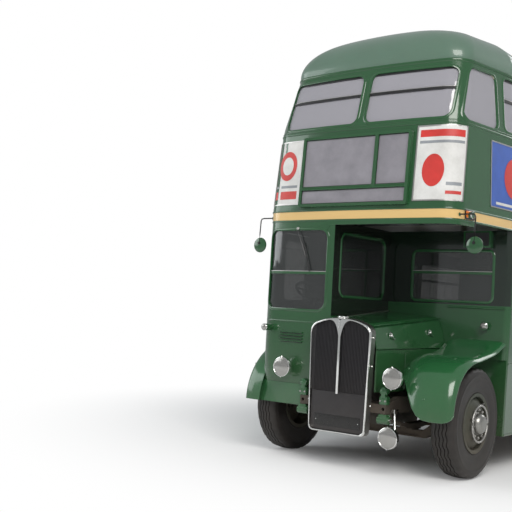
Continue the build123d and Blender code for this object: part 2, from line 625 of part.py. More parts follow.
with BuildPart() as door_glass:
    add(panes(cab_glass_skin, Plane.YZ.offset(-HALF - 80), 240, [CAB_DOOR_WINDOW], -OUT, -900))
save(door_glass, "cab_door_glass")

with BuildPart() as emergency_glass:
    add(panes(upper_glass_skin, REAR_WALL, REAR_DEPTH, EMERGENCY_PANES, y0=3500))
save(emergency_glass, "emergency_door_glass")

# Destination boxes: the three-part box on the front panel and the small one under the canopy
NUMBER_BOX = (668, 950, 2165, 2330)  # left, right, bottom, top
with BuildPart() as boxes:
    with BuildSketch(box_plane):
        box_outline(FIT)
    extrude(amount=-BOX_IN)
    with BuildSketch(box_plane):
        box_pane_rectangles()
    extrude(amount=-14, mode=Mode.SUBTRACT)
    x0, x1, z0, z1 = NUMBER_BOX
    block(x0, x1, BULKHEAD_Y - 62, BULKHEAD_Y - FIT, z0, z1)
    block(x0 + 14, x1 - 14, BULKHEAD_Y - 80, BULKHEAD_Y - 54, z0 + 14, z1 - 14, Mode.SUBTRACT)
save(boxes, "destination_boxes")

# Radiator: a bright shell round a slatted core
RAD_HALF = 333
RAD_LOW_Z, RAD_HIGH_Z = 333, 1408
RAD_FRONT_Y = -3949
RAD_DEPTH = 92
RAD_TOP_FRAME = 92
RAD_SIDE_FRAME = 40
RAD_SHOULDER_Z = 1330


def radiator_outline(inset, foot_inset, crown_drop=0.0):
    """The radiator's front outline: straight foot, sides that widen upwards and a shouldered crown."""
    half_low, half_high = RAD_HALF - 22 - inset, RAD_HALF - inset
    low, shoulder, high = RAD_LOW_Z + foot_inset, RAD_SHOULDER_Z - crown_drop, RAD_HIGH_Z - crown_drop
    with BuildLine() as line:
        Line((0, low), (half_low, low))
        Line((half_low, low), (half_high, shoulder - 60))
        ThreePointArc((half_high, shoulder - 60), (half_high - 22, shoulder + 10), (half_high - 85, shoulder + 42))
        ThreePointArc((half_high - 85, shoulder + 42), (half_high - 210, high - 8), (0, high))
        mirror(about=Plane.YZ)
    make_face(line.edges())


FRONT = Plane(origin=(0, RAD_FRONT_Y, 0), x_dir=(1, 0, 0), z_dir=(0, -1, 0))
RAD_EDGE = 14  # how far the shell's front edge is rolled back
with BuildPart() as radiator_shell:
    with BuildSketch(FRONT.offset(-RAD_EDGE)):
        radiator_outline(0, 0)
    extrude(amount=-RAD_DEPTH + RAD_EDGE)
    with BuildSketch(FRONT.offset(-RAD_EDGE)):
        radiator_outline(0, 0)
    with BuildSketch(FRONT.offset(-RAD_EDGE * 0.35)):
        radiator_outline(RAD_EDGE * 0.35, RAD_EDGE * 0.35, RAD_EDGE * 0.35)
    with BuildSketch(FRONT):
        radiator_outline(RAD_EDGE, RAD_EDGE, RAD_EDGE)
    loft(ruled=True)
    with BuildSketch(FRONT):
        radiator_outline(RAD_SIDE_FRAME, 46, RAD_TOP_FRAME)
    extrude(amount=-RAD_DEPTH, mode=Mode.SUBTRACT)
    block(-13, 13, RAD_FRONT_Y - 6, RAD_FRONT_Y + 20, RAD_LOW_Z + 20, RAD_HIGH_Z - RAD_TOP_FRAME + 6)
save(radiator_shell, "radiator_shell")

SLATS = 15
with BuildPart() as radiator_core:
    with BuildSketch(FRONT.offset(-34)):
        radiator_outline(RAD_SIDE_FRAME + FIT, 46 + FIT, RAD_TOP_FRAME + FIT)
    extrude(amount=-RAD_DEPTH + 34)
    for side in (-1, 1):
        for i in range(SLATS):
            x = side * (30 + 236 * i / (SLATS - 1))
            block(x - 3, x + 3, RAD_FRONT_Y + 22, RAD_FRONT_Y + 36, RAD_LOW_Z + 60, RAD_HIGH_Z - RAD_TOP_FRAME - 72)
save(radiator_core, "radiator_core")

# Bonnet: the lid is the top and the upper side, hinged beside the cab, over a fixed lower side panel.
# Stations run from the radiator back to the bulkhead: y, fold x, fold z, side foot x and z, inner z.
Station = namedtuple("Station", "y fold_x fold_z foot_x foot_z inner_z")
LID_FRONT = Station(RAD_FRONT_Y + RAD_DEPTH + CLEAR, 305, 1352, 352, 1134, 1392)
LID_REAR = Station(BULKHEAD_Y - CLEAR, 425, 1452, 500, 1158, 1500)
LID_IN_X = CAB_IN_X + CLEAR
LID_T = 10


with BuildPart() as bonnet_lid:
    for s in (LID_FRONT, LID_REAR):
        with BuildSketch(Plane(origin=(0, s.y, 0), x_dir=(1, 0, 0), z_dir=(0, -1, 0))):
            with BuildLine():
                Polyline(
                    (LID_IN_X, s.inner_z),
                    (s.fold_x - 60, s.fold_z + 14),
                    (s.fold_x, s.fold_z - 26),
                    (s.foot_x, s.foot_z),
                    (s.foot_x - LID_T, s.foot_z),
                    (s.fold_x - LID_T, s.fold_z - 26 - LID_T * 0.5),
                    (s.fold_x - 60 - LID_T * 0.3, s.fold_z + 14 - LID_T),
                    (LID_IN_X, s.inner_z - LID_T),
                    close=True,
                )
            make_face()
    loft(ruled=True)
save(bonnet_lid, "bonnet_lid")

# Fixed side panel below the lid, from the radiator to the bulkhead
with BuildPart() as bonnet_side:
    for s in (LID_FRONT, LID_REAR):
        rear = s is LID_REAR
        with BuildSketch(Plane(origin=(0, s.y + (CLEAR - FIT if rear else 0), 0), x_dir=(1, 0, 0), z_dir=(0, -1, 0))):
            with BuildLine():
                Polyline(
                    (s.foot_x, s.foot_z - CLEAR),
                    (s.foot_x - 14, s.foot_z - CLEAR),
                    (s.foot_x - 14, 745),
                    (s.foot_x, 745),
                    close=True,
                )
            make_face()
    loft(ruled=True)
save(bonnet_side, "bonnet_side")

# Front wings: a skin over each wheel, lofted from the wing's side profile
WING_PROFILE = (
    (-2745, 1262),
    (-2959, 1190),
    (-3328, 1133),
    (-3561, 1096),
    (-3715, 1018),
    (-3832, 886),
    (-3886, 740),
    (-3912, 545),
)
WING_T = 10
WING_OUT_X = 1125
WING_IN_X = {1: 470, -1: -400}


def wing_outline(drop, front_in):
    """The wing's closed side profile, with its top lowered and its front set back."""
    top = [(y + front_in * (i / 7), z - drop) for i, (y, z) in enumerate(WING_PROFILE)]
    with BuildLine() as line:
        Polyline((BULKHEAD_Y - FIT, top[0][1]), top[0], top[1], top[2], top[3])
        arc = ThreePointArc(top[3], top[4], top[5])
        Polyline(arc @ 1, top[6], top[7], (BULKHEAD_Y - FIT, top[7][1]), (BULKHEAD_Y - FIT, top[0][1]))
    make_face(line.edges())


WING_STATIONS = (  # x, how far the top is lowered and the front set back there
    (330, 34, 0),
    (560, 0, 0),
    (960, 0, 0),
    (1070, 12, 10),
    (WING_OUT_X, 46, 34),
)


def wing_solid(inset):
    """The space under the nearside wing, or that much inside its skin."""
    with BuildPart() as solid:
        for i, (x, drop, back) in enumerate(WING_STATIONS):
            last = i == len(WING_STATIONS) - 1
            with BuildSketch(Plane.YZ.offset(x - (inset if last else 0))):
                wing_outline(drop + inset, back + inset)
        loft(ruled=True)
    return solid.part


with BuildPart() as near_wing:
    add(wing_solid(0))
    add(wing_solid(WING_T), mode=Mode.SUBTRACT)
    block(300, WING_OUT_X - WING_T, BULKHEAD_Y - 40, BULKHEAD_Y + 20, 400, 1240, Mode.SUBTRACT)
    block(300, OUT, -4000, BULKHEAD_Y, 500, 546, Mode.SUBTRACT)
    with BuildSketch(Plane.XY.offset(500)):
        with BuildLine():
            Polyline(
                (0, -4100),
                (LID_FRONT.foot_x + FIT, -4100),
                (LID_FRONT.foot_x + FIT, LID_FRONT.y),
                (LID_REAR.foot_x + FIT, BULKHEAD_Y),
                (0, BULKHEAD_Y),
                close=True,
            )
        make_face()
    extrude(amount=1000, mode=Mode.SUBTRACT)
    with BuildSketch(Plane.XY.offset(1100)):
        with BuildLine():
            Polyline(
                (0, -4100),
                (LID_FRONT.foot_x + CLEAR, -4100),
                (LID_FRONT.foot_x + CLEAR, LID_FRONT.y),
                (LID_REAR.foot_x + CLEAR, BULKHEAD_Y),
                (0, BULKHEAD_Y),
                close=True,
            )
        make_face()
    extrude(amount=400, mode=Mode.SUBTRACT)
    with BuildSketch(Plane.YZ.offset(1000)):
        wing_outline(WING_STATIONS[-1][1] + 48, WING_STATIONS[-1][2] + 40)
    extrude(amount=200, mode=Mode.SUBTRACT)
    with BuildSketch(Plane(origin=(0, -4000, 0), x_dir=(1, 0, 0), z_dir=(0, -1, 0))):
        with BuildLine():
            Polyline((300, 500), (700, 500), (650, 700), (560, 770), (300, 800), close=True)
        make_face()
    extrude(amount=-900, mode=Mode.SUBTRACT)

with BuildPart() as cab_space_builder:
    add(envelope(CAB_LEVELS, -FIT))
    block(-OUT, 0, -5000, BULKHEAD_Y + 100, 0, 3000, Mode.INTERSECT)
cab_space = cab_space_builder.part

LIP_OUT_X = 1160
VALANCE_LOW_Z = 530
with BuildPart() as off_wing:
    with BuildSketch(Plane.YZ.offset(-LIP_OUT_X)):
        with Locations((Y_FRONT_AXLE, TYRE_R)):
            Circle(CAB_CUT_R + 42)
            Circle(CAB_CUT_R, mode=Mode.SUBTRACT)
        with Locations((Y_FRONT_AXLE, 0)):
            Rectangle(3000, 2 * VALANCE_LOW_Z, mode=Mode.SUBTRACT)
    extrude(amount=190)
    with BuildSketch(Plane.XY.offset(VALANCE_LOW_Z)):
        plan_outline(CAB_LEVELS[0])
        plan_outline_inner = offset(amount=-12, mode=Mode.PRIVATE)
        add(plan_outline_inner, mode=Mode.SUBTRACT)
    extrude(amount=CAB_LOW_Z - VALANCE_LOW_Z - FIT)
    with BuildSketch(Plane.YZ.offset(-OUT)):
        with Locations((Y_FRONT_AXLE, TYRE_R)):
            Circle(CAB_CUT_R)
    extrude(amount=OUT, mode=Mode.SUBTRACT)
    block(-OUT, -475, -5000, BULKHEAD_Y - 20, 0, 2000, Mode.INTERSECT)
    add(cab_space, mode=Mode.SUBTRACT)
with BuildPart() as wings:
    add(near_wing.solids().sort_by(SortBy.VOLUME)[-1])
    add(off_wing.part)
save(wings, "front_wings")

# Frame: two side rails that dip under the floor and climb over the rear axle, with cross members
RAIL_IN_X, RAIL_OUT_X = 413.5, 470
RAIL_FRONT_Y = -3856
UNDER_FLOOR_Z = FLOOR_Z - FLOOR_T - FIT
RAIL_TOP = (
    (RAIL_FRONT_Y, 640),
    (-3600, FRAME_HIGH_Z),
    (-2960, FRAME_HIGH_Z),
    (-2705, UNDER_FLOOR_Z),
    (1150, UNDER_FLOOR_Z),
    (1400, 760),
    (2050, 760),
    (2290, UNDER_FLOOR_Z),
    (2385, UNDER_FLOOR_Z),
    (2400, PLATFORM_TOP_Z - PLATFORM_T - FIT),
    (3760, PLATFORM_TOP_Z - PLATFORM_T - FIT),
)
RAIL_FOOT = (
    (3760, 220),
    (2330, 205),
    (2120, 620),
    (1330, 620),
    (1100, 450),
    (-2600, 450),
    (-2720, 560),
    (RAIL_FRONT_Y, 555),
)
CROSS_Y = (-3660, -2300, -700, 700)
SOCKET_R = 16
SOCKET_Z = 600
SOCKET_DEEP = 90
SPRING_X = 441.75
REAR_SPRING_X = 515
SPRING_W = 70
with BuildPart() as frame:
    for side in (-1, 1):
        with BuildSketch(Plane.YZ.offset(side * RAIL_IN_X if side > 0 else -RAIL_OUT_X)) as rail:
            with BuildLine() as rail_line:
                Polyline(*RAIL_TOP, *RAIL_FOOT, close=True)
            make_face()
        extrude(amount=RAIL_OUT_X - RAIL_IN_X)
        for y in (-3735, -2770):
            block(side * (SPRING_X - 38), side * (SPRING_X + 38), y - 35, y + 35, 526.3 + FIT, 570)
        for y in (1080, 2372):
            block(side * RAIL_IN_X, side * (REAR_SPRING_X + 38), y - 30, y + 30, 536.7 + FIT, 585)
        socket_mouth = (side * SPRING_X, RAIL_FRONT_Y - 10, SOCKET_Z)
        rod(socket_mouth, (side * SPRING_X, RAIL_FRONT_Y + SOCKET_DEEP, SOCKET_Z), SOCKET_R, Mode.SUBTRACT)
save(frame, "chassis_frame")

# Cross members between the rails, the last with a drawbar hole through it
DRAWBAR_Z = 262
with BuildPart() as cross_members:
    for y in CROSS_Y:
        z0 = 575 if y < BULKHEAD_Y else 525
        block(-RAIL_IN_X + FIT, RAIL_IN_X - FIT, y - 30, y + 30, z0, z0 + 74)
    block(-RAIL_IN_X + FIT, RAIL_IN_X - FIT, RAD_FRONT_Y + RAD_DEPTH + FIT, -3790, 560, 640)
    for y in (2520, 3725):
        block(-RAIL_IN_X + FIT, RAIL_IN_X - FIT, y - 35, y + 35, 225, PLATFORM_TOP_Z - PLATFORM_T - FIT)
    rod((0, 3680, DRAWBAR_Z), (0, 3770, DRAWBAR_Z), SOCKET_R, Mode.SUBTRACT)
save(cross_members, "cross_members")

# Engine, one plain block with its feet on the rails
with BuildPart() as engine:
    block(-160, 300, -3600, -2900, 420, 1190)
    for y in (-3560, -3010):
        block(-RAIL_IN_X + FIT, RAIL_IN_X - FIT, y - 40, y + 40, 600, 665)
save(engine, "engine")

# Gearbox under the saloon floor, with the shafts before and behind it
with BuildPart() as driveline:
    block(-165, 165, -1950, -1180, 330, 585)
    for y in (-1850, -1290):
        block(-RAIL_IN_X + FIT, RAIL_IN_X - FIT, y - 35, y + 35, 500, 560)
    rod((0, -2898.5, 460), (0, -1950 - FIT, 450), 38)
    rod((0, -1178, 450), (-215, 1560, 400), 42)
save(driveline, "gearbox_and_shafts")

with BuildPart() as exhaust:
    rod((210, -2960, 388), (585, -2450, 405), 26)
    rod((585, -2470, 405), (585, -1690, 478), 26)
    rod((585, -1700, 478), (585, -760, 478), 92)
    rod((585, -770, 478), (585, 940, 478), 26)
    for y in (-1500, -900):
        block(560, 610, y - 15, y + 15, 540, UNDER_FLOOR_Z)
    block(575, 595, 700, 730, 478, UNDER_FLOOR_Z)
with BuildPart() as tank:
    block(-1050, -560, -1250, -150, 372, UNDER_FLOOR_Z)
    fillet(tank.edges().filter_by(Axis.Y), 60)
save(tank, "fuel_tank")
save(exhaust, "exhaust")


def leaf_spring(x, y, z_top, rise, half_length, leaves=5, step=105, leaf=12):
    """A stack of bowed leaves, longest on top, in the part being built."""
    for i in range(leaves):
        reach = half_length - step * i
        lift = rise * (reach / half_length) ** 2
        top, foot = z_top - leaf * i, z_top - leaf * (i + 1)
        with BuildSketch(Plane.YZ.offset(x - SPRING_W / 2)) as face:
            with BuildLine() as edge:
                upper = ThreePointArc((y - reach, top + lift), (y, top), (y + reach, top + lift))
                under = ThreePointArc((y - reach, foot + lift), (y, foot), (y + reach, foot + lift))
                Line(upper @ 0, under @ 0)
                Line(upper @ 1, under @ 1)
            make_face(edge.edges())
        extrude(face.sketch, amount=SPRING_W)


BEAM_TOP_Z = 380
AXLE_TUBE_R = 62
with BuildPart() as springs:
    for side in (-1, 1):
        leaf_spring(side * SPRING_X, Y_FRONT_AXLE, BEAM_TOP_Z + FIT + 60, 86, 515)
        leaf_spring(side * REAR_SPRING_X, Y_REAR_AXLE, TYRE_R - AXLE_TUBE_R - FIT, 90, 660, step=120)
save(springs, "road_springs")

# Front axle: a dropped beam with an eye at each end for the kingpin
KINGPIN_X = 885
EYE_HALF = 55
EYE_R = 38
with BuildPart() as front_axle:
    with BuildSketch(Plane.XZ.offset(-Y_FRONT_AXLE - 38)):
        with BuildLine():
            Polyline(
                (0, 312),
                (590, 312),
                (800, TYRE_R - EYE_HALF),
                (KINGPIN_X, TYRE_R - EYE_HALF),
                (KINGPIN_X, TYRE_R + EYE_HALF),
                (790, TYRE_R + EYE_HALF),
                (560, BEAM_TOP_Z),
                (0, BEAM_TOP_Z),
                close=True,
            )
        make_face()
        mirror(about=Plane.YZ)
    extrude(amount=76)
    for side in (-1, 1):
        with Locations((side * KINGPIN_X, Y_FRONT_AXLE, TYRE_R)):
            Cylinder(EYE_R, 2 * EYE_HALF)
    for y in (Y_FRONT_AXLE - 38, Y_FRONT_AXLE + 38):
        block(-540, 540, y - 14, y + 14, 326, BEAM_TOP_Z - 14, Mode.SUBTRACT)
save(front_axle, "front_axle")

HUB_END_X = 588
with BuildPart() as rear_axle:
    rod((-HUB_END_X + FIT, Y_REAR_AXLE, TYRE_R), (HUB_END_X - FIT, Y_REAR_AXLE, TYRE_R), AXLE_TUBE_R)
    with Locations((-215, Y_REAR_AXLE, 445)):
        Sphere(150)
    rod((-215, 1570 + 2, 405), (-215, 1700, 420), 60)
save(rear_axle, "rear_axle")

# Knuckles: a forked bracket round the axle's eye, with the stub that carries the hub
KNUCKLE_PLATE_X = (KINGPIN_X + EYE_R + 8, KINGPIN_X + EYE_R + 34)
STUB_R = 36 - FIT


def knuckle(side):
    """One front knuckle, on the side given as -1 or 1."""
    with BuildPart() as piece:
        for z0, z1 in ((EYE_HALF + FIT, EYE_HALF + 46), (-EYE_HALF - 46, -EYE_HALF - FIT)):
            with Locations((side * KINGPIN_X, Y_FRONT_AXLE, TYRE_R + (z0 + z1) / 2)):
                Cylinder(EYE_R, z1 - z0)
            block(
                side * KINGPIN_X,
                side * KNUCKLE_PLATE_X[1],
                Y_FRONT_AXLE - EYE_R,
                Y_FRONT_AXLE + EYE_R,
                TYRE_R + z0,
                TYRE_R + z1,
            )
        block(
            side * KNUCKLE_PLATE_X[0],
            side * KNUCKLE_PLATE_X[1],
            Y_FRONT_AXLE - EYE_R,
            Y_FRONT_AXLE + EYE_R,
            TYRE_R - EYE_HALF - 46,
            TYRE_R + EYE_HALF + 46,
        )
        stub_x = side * KNUCKLE_PLATE_X[1]
        rod((stub_x - side * 5, Y_FRONT_AXLE, TYRE_R), (side * 1060, Y_FRONT_AXLE, TYRE_R), STUB_R)
    return piece


for side, name in ((1, "nearside"), (-1, "offside")):
    save(knuckle(side), f"knuckle_{name}")

# Wheels and tyres as turned profiles: distance outwards from the tyre's middle, and radius
RIM_PROFILE = (
    (-100, 276),
    (-93, 262),
    (-93, 252),
    (93, 252),
    (93, 262),
    (100, 276),
    (108, 276),
    (104, 260),
    (101, 244),
    (-101, 244),
    (-104, 260),
    (-108, 276),
)
FRONT_DISC = (
    (44, 245),
    (62, 245),
    (92, 196),
    (112, 150),
    (116, 96),
    (150, 92),
    (178, 70),
    (182, 0),
    (170, 0),
    (170, 36),
    (0, 36),
    (0, 84),
    (92, 92),
    (100, 146),
    (82, 186),
)
REAR_DISC = (
    (-92, 245),
    (-70, 245),
    (-84, 200),
    (-96, 150),
    (-96, 104),
    (40, 100),
    (66, 74),
    (70, 0),
    (HUB_END_X - TYRE_REAR_X[1], 0),
    (HUB_END_X - TYRE_REAR_X[1], 84),
    (-300, 84),
    (-120, 100),
    (-120, 150),
    (-112, 200),
)
INNER_DISC = ((60, 245), (92, 245), (96, 215), (149, 150), (149, 92), (138, 92), (136, 150), (84, 205))
DRUM = ((-100, 84), (-100, 205), (28, 205), (28, 190), (-88, 190), (-88, 84))
TYRE_PROFILE = (
    (92, 252.4),
    (92, 262.5),
    (99, 277),
    (113, 330),
    (119, 400),
    (114, 466),
    (84, 500),
    (0, TYRE_R),
)


def turned(profile, side, x, y):
    """Turns a profile about a wheel's axle line, in the part being built."""
    with BuildSketch(Plane(origin=(side * x, y, TYRE_R), x_dir=(side, 0, 0), z_dir=(0, -1, 0))) as half_section:
        with BuildLine() as edge:
            Polyline(*[(a, r * side) for a, r in profile], close=True)
        make_face(edge.edges())
    revolve(half_section.sketch, axis=Axis((0, y, TYRE_R), (1, 0, 0)))


tyre_section = TYRE_PROFILE + tuple((-a, r) for a, r in reversed(TYRE_PROFILE[:-1]))
for side, name in ((1, "nearside"), (-1, "offside")):
    with BuildPart() as front_wheel:
        turned(RIM_PROFILE, side, TYRE_FRONT_X, Y_FRONT_AXLE)
        turned(FRONT_DISC, side, TYRE_FRONT_X, Y_FRONT_AXLE)
    save(front_wheel, f"front_wheel_{name}")
    with BuildPart() as front_tyre:
        turned(tyre_section, side, TYRE_FRONT_X, Y_FRONT_AXLE)
    save(front_tyre, f"front_tyre_{name}")
    with BuildPart() as rear_wheels:
        for x in TYRE_REAR_X:
            turned(RIM_PROFILE, side, x, Y_REAR_AXLE)
        turned(REAR_DISC, side, TYRE_REAR_X[1], Y_REAR_AXLE)
        turned(INNER_DISC, side, TYRE_REAR_X[0], Y_REAR_AXLE)
        turned(DRUM, side, TYRE_REAR_X[0], Y_REAR_AXLE)
    save(rear_wheels, f"rear_wheels_{name}")
    with BuildPart() as rear_tyres:
        for x in TYRE_REAR_X:
            turned(tyre_section, side, x, Y_REAR_AXLE)
    save(rear_tyres, f"rear_tyres_{name}")


# Headlamps and the low fog lamp: bowls that face forwards, each on its own stay
Lamp = namedtuple("Lamp", "x z y_rim y_mount")
HEADLAMPS = (Lamp(-652, 897, -3946, -3790), Lamp(566, 892, -3940, -3800), Lamp(551, 360, -3946, -3800))
LAMP_R = 98
BOWL = ((0, 0), (92, 0), (LAMP_R, 8), (LAMP_R, 22), (86, 48), (58, 76), (26, 92), (0, 95))
with BuildPart() as lamps:
    for lamp in HEADLAMPS:
        with BuildSketch(Plane(origin=(lamp.x, lamp.y_rim, lamp.z), x_dir=(1, 0, 0), z_dir=(0, 0, 1))) as bowl:
            with BuildLine() as edge:
                Polyline(*BOWL, close=True)
            make_face(edge.edges())
        revolve(bowl.sketch, axis=Axis((lamp.x, lamp.y_rim, lamp.z), (0, 1, 0)))
        rod((lamp.x, lamp.y_rim + 84, lamp.z), (lamp.x, lamp.y_mount, lamp.z), 17)
    add(cab_space, mode=Mode.SUBTRACT)
    add(near_wing.part, mode=Mode.SUBTRACT)
    fog = HEADLAMPS[2]
    rod((fog.x, -3808, fog.z), (500, -3740, 545), 14)
    block(SPRING_X + 38 + FIT, 520, -3775, -3700, 560, 600)
    rod((505, -3745, 530), (505, -3745, 570), 12)
save(lamps, "headlamps")

# Side, indicator and rear lamps, each a round pod on the panel behind it
Pod = namedtuple("Pod", "start end radius")
PODS = (
    Pod((-925, -3900, 1270), (-925, -3700, 1270), 34),
    Pod((911, BULKHEAD_Y - 60, 1400), (911, BULKHEAD_Y - FIT, 1400), 38),
    Pod((1110, -3580, 2388), (1000, -3580, 2388), 30),
    Pod((-1110, -3580, 2388), (-1000, -3580, 2388), 30),
    Pod((-760, 4000, 1050), (-760, 3700, 1050), 40),
    Pod((760, 4000, 1050), (760, 3700, 1050), 40),
    Pod((-760, 4000, 900), (-760, 3700, 900), 40),
    Pod((760, 4000, 900), (760, 3700, 900), 40),
)
with BuildPart() as pods:
    for pod in PODS:
        rod(pod.start, pod.end, pod.radius)
    add(cab_space, mode=Mode.SUBTRACT)
    add(envelope(LOWER_LEVELS, -FIT), mode=Mode.SUBTRACT)
    add(envelope(UPPER_LEVELS, -FIT), mode=Mode.SUBTRACT)
    block(-OUT, OUT, -5000, Y_REAR + 22, 0, 3000, Mode.INTERSECT)
save(pods, "small_lamps")

# Mirrors on arms from the front corners
MIRROR_X = 1265
with BuildPart() as mirrors:
    for side in (-1, 1):
        rod((side * 960, -3650, 2385), (side * 1190, -3700, 2370), 9)
        rod((side * 1190, -3700, 2370 + 9), (side * 1190, -3700, 2010), 9)
        with Locations(Location((side * (MIRROR_X - 78), -3704, 2110), (0, 0, 0))):
            Box(156, 26, 236)
    fillet(mirrors.edges().filter_by(Axis.Y).filter_by_position(Axis.Y, -3718, -3690), 30)
    add(envelope(UPPER_LEVELS, -FIT), mode=Mode.SUBTRACT)
save(mirrors, "mirrors")

# Poles and rails that passengers hold
POLE_R = 16
with BuildPart() as poles:
    rod((140, 3120, PLATFORM_TOP_Z + FIT), (140, 3120, UPPER_FLOOR_LOW_Z - FIT), POLE_R)
    for y, wall_y in ((REAR_BULKHEAD_Y + 100, REAR_BULKHEAD_Y + REAR_BULKHEAD_T + FIT),):
        rod((1000, y, 900), (1000, y, 1900), POLE_R)
        for z in (930, 1870):
            rod((1000, y, z), (1000, wall_y, z), POLE_R - 3)
    post_x = STAIR_IN_X + 30
    for y in (STAIR_TOP_Y + 30, STAIR_WELL_REAR_Y - 60):
        rod((post_x, y, UPPER_FLOOR_Z + FIT), (post_x, y, 3300), POLE_R)
    for z in (2900, 3270):
        rod((post_x, STAIR_TOP_Y + 30, z), (post_x, STAIR_WELL_REAR_Y - 60, z), POLE_R - 3)
save(poles, "handrails")

# Seats: rows of doubles and, over the wheel boxes, benches along the sides
SEAT_H = 430
SEAT_DEEP = 420
BACK_H = 520
LOWER_ROWS_Y = (-2180, -1440, -700, 40, 780)
UPPER_NEAR_ROWS_Y = tuple(-3130 + 740 * i for i in range(9))
UPPER_OFF_ROWS_Y = UPPER_NEAR_ROWS_Y[:6]


def double_seat(side, x_in, x_out, y, floor_z):
    """One forward-facing double seat on its two legs, in the part being built."""
    x0, x1 = side * x_in, side * x_out
    seat_z = floor_z + SEAT_H
    y_back = y + SEAT_DEEP / 2
    block(x0, x1, y - SEAT_DEEP / 2, y_back - 72, seat_z - 105, seat_z)
    with BuildSketch(Plane.YZ.offset(min(x0, x1))) as back:
        with BuildLine() as edge:
            Polyline(
                (y_back - 72 + FIT, seat_z - 105),
                (y_back - 10, seat_z - 105),
                (y_back + 70, seat_z + BACK_H),
                (y_back + 10, seat_z + BACK_H),
                close=True,
            )
        make_face(edge.edges())
    extrude(back.sketch, amount=abs(x1 - x0))
    for leg_x in (x_in + 110, x_out - 42):
        block(side * (leg_x - 18), side * (leg_x + 18), y - 140, y + 130, floor_z + FIT, seat_z - 105 - FIT)


with BuildPart() as seats:
    for side in (-1, 1):
        for y in LOWER_ROWS_Y:
            double_seat(side, 225, 1065, y, FLOOR_Z)
        y0, y1 = Y_REAR_AXLE - WHEEL_BOX_HALF + 8, Y_REAR_AXLE + WHEEL_BOX_HALF + 50
        block(side * (WHEEL_BOX_IN_X + 12), side * 1070, y0, y1, WHEEL_BOX_TOP_Z + FIT, WHEEL_BOX_TOP_Z + 105)
        block(side * 1000, side * 1078, y0, y1, WHEEL_BOX_TOP_Z + 105 + FIT, WHEEL_BOX_TOP_Z + 470)
    for side, rows in ((1, UPPER_NEAR_ROWS_Y), (-1, UPPER_OFF_ROWS_Y)):
        for y in rows:
            out = 1030 if y > -3000 else 960
            double_seat(side, out - 820, out, y, UPPER_FLOOR_Z)
save(seats, "passenger_seats")

# Driver's place
SEAT_X = -650
with BuildPart() as driver_seat:
    block(SEAT_X - 225, SEAT_X + 225, -3190, -2790, CAB_FLOOR_Z + 300, CAB_FLOOR_Z + 400)
    block(SEAT_X - 215, SEAT_X + 215, -2850, -2770, CAB_FLOOR_Z + 380, CAB_FLOOR_Z + 860)
    block(SEAT_X - 120, SEAT_X + 120, -3100, -2860, CAB_FLOOR_Z + FIT, CAB_FLOOR_Z + 310)
save(driver_seat, "driver_seat")

WHEEL_TILT = math.radians(28)
STEER_AXIS = (0, math.sin(WHEEL_TILT), math.cos(WHEEL_TILT))
STEER_CENTRE = (SEAT_X, -3395, 1640)
COLUMN_LENGTH = (STEER_CENTRE[2] - CAB_FLOOR_Z - 26) / STEER_AXIS[2]
COLUMN_FOOT = tuple(c - a * COLUMN_LENGTH for c, a in zip(STEER_CENTRE, STEER_AXIS))
with BuildPart() as column:
    rod(COLUMN_FOOT, tuple(c - a * 56 for c, a in zip(STEER_CENTRE, STEER_AXIS)), 28)
    block(SEAT_X - 70, SEAT_X + 70, COLUMN_FOOT[1] - 70, COLUMN_FOOT[1] + 70, CAB_FLOOR_Z + FIT, CAB_FLOOR_Z + 60)
save(column, "steering_column")

with BuildPart() as steering_wheel:
    with BuildSketch(Plane(origin=STEER_CENTRE, x_dir=(1, 0, 0), z_dir=(0, -STEER_AXIS[2], STEER_AXIS[1]))) as ring:
        with Locations((222, 0)):
            Circle(14)
    revolve(ring.sketch, axis=Axis(STEER_CENTRE, STEER_AXIS))
    hub_foot = tuple(c - a * 55.5 for c, a in zip(STEER_CENTRE, STEER_AXIS))
    rod(hub_foot, tuple(c - a * 4 for c, a in zip(STEER_CENTRE, STEER_AXIS)), 34)
    for turn in (90, 210, 330):
        a = math.radians(turn)
        tip = (
            STEER_CENTRE[0] + 214 * math.cos(a),
            STEER_CENTRE[1] + 214 * math.sin(a) * STEER_AXIS[2],
            STEER_CENTRE[2] - 214 * math.sin(a) * STEER_AXIS[1],
        )
        rod(tuple(c - s * 22 for c, s in zip(STEER_CENTRE, STEER_AXIS)), tip, 9)
save(steering_wheel, "steering_wheel")
print(len(nodes), "pieces")
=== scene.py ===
# %% [markdown]
# # A half-cab double decker bus
#
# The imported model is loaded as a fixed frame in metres: the front faces -Y, the nearside is +X and the
# ground is z = 0. Its solids already have the bus's shape. This script gives them their materials and adds
# what a coachbuilder would fit last: beading, window frames, lamp glasses, tyre treads, wheel nuts, seats
# and the other small parts. Each of these is worked out with numpy as points and faces.

import math

import bmesh
import bpy
import numpy as np
from mathutils import Matrix


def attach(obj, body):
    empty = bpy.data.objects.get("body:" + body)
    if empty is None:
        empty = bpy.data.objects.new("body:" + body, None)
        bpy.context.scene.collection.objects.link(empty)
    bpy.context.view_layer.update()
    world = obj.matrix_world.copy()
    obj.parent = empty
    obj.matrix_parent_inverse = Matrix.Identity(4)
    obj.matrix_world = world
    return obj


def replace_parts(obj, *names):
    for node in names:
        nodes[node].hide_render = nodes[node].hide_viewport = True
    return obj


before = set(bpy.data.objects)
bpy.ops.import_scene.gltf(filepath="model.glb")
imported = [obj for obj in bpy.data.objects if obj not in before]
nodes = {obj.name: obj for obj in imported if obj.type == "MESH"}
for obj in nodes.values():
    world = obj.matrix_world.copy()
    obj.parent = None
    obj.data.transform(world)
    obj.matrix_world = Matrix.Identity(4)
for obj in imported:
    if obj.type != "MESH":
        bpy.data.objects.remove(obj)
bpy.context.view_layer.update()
ROOT = "bus"

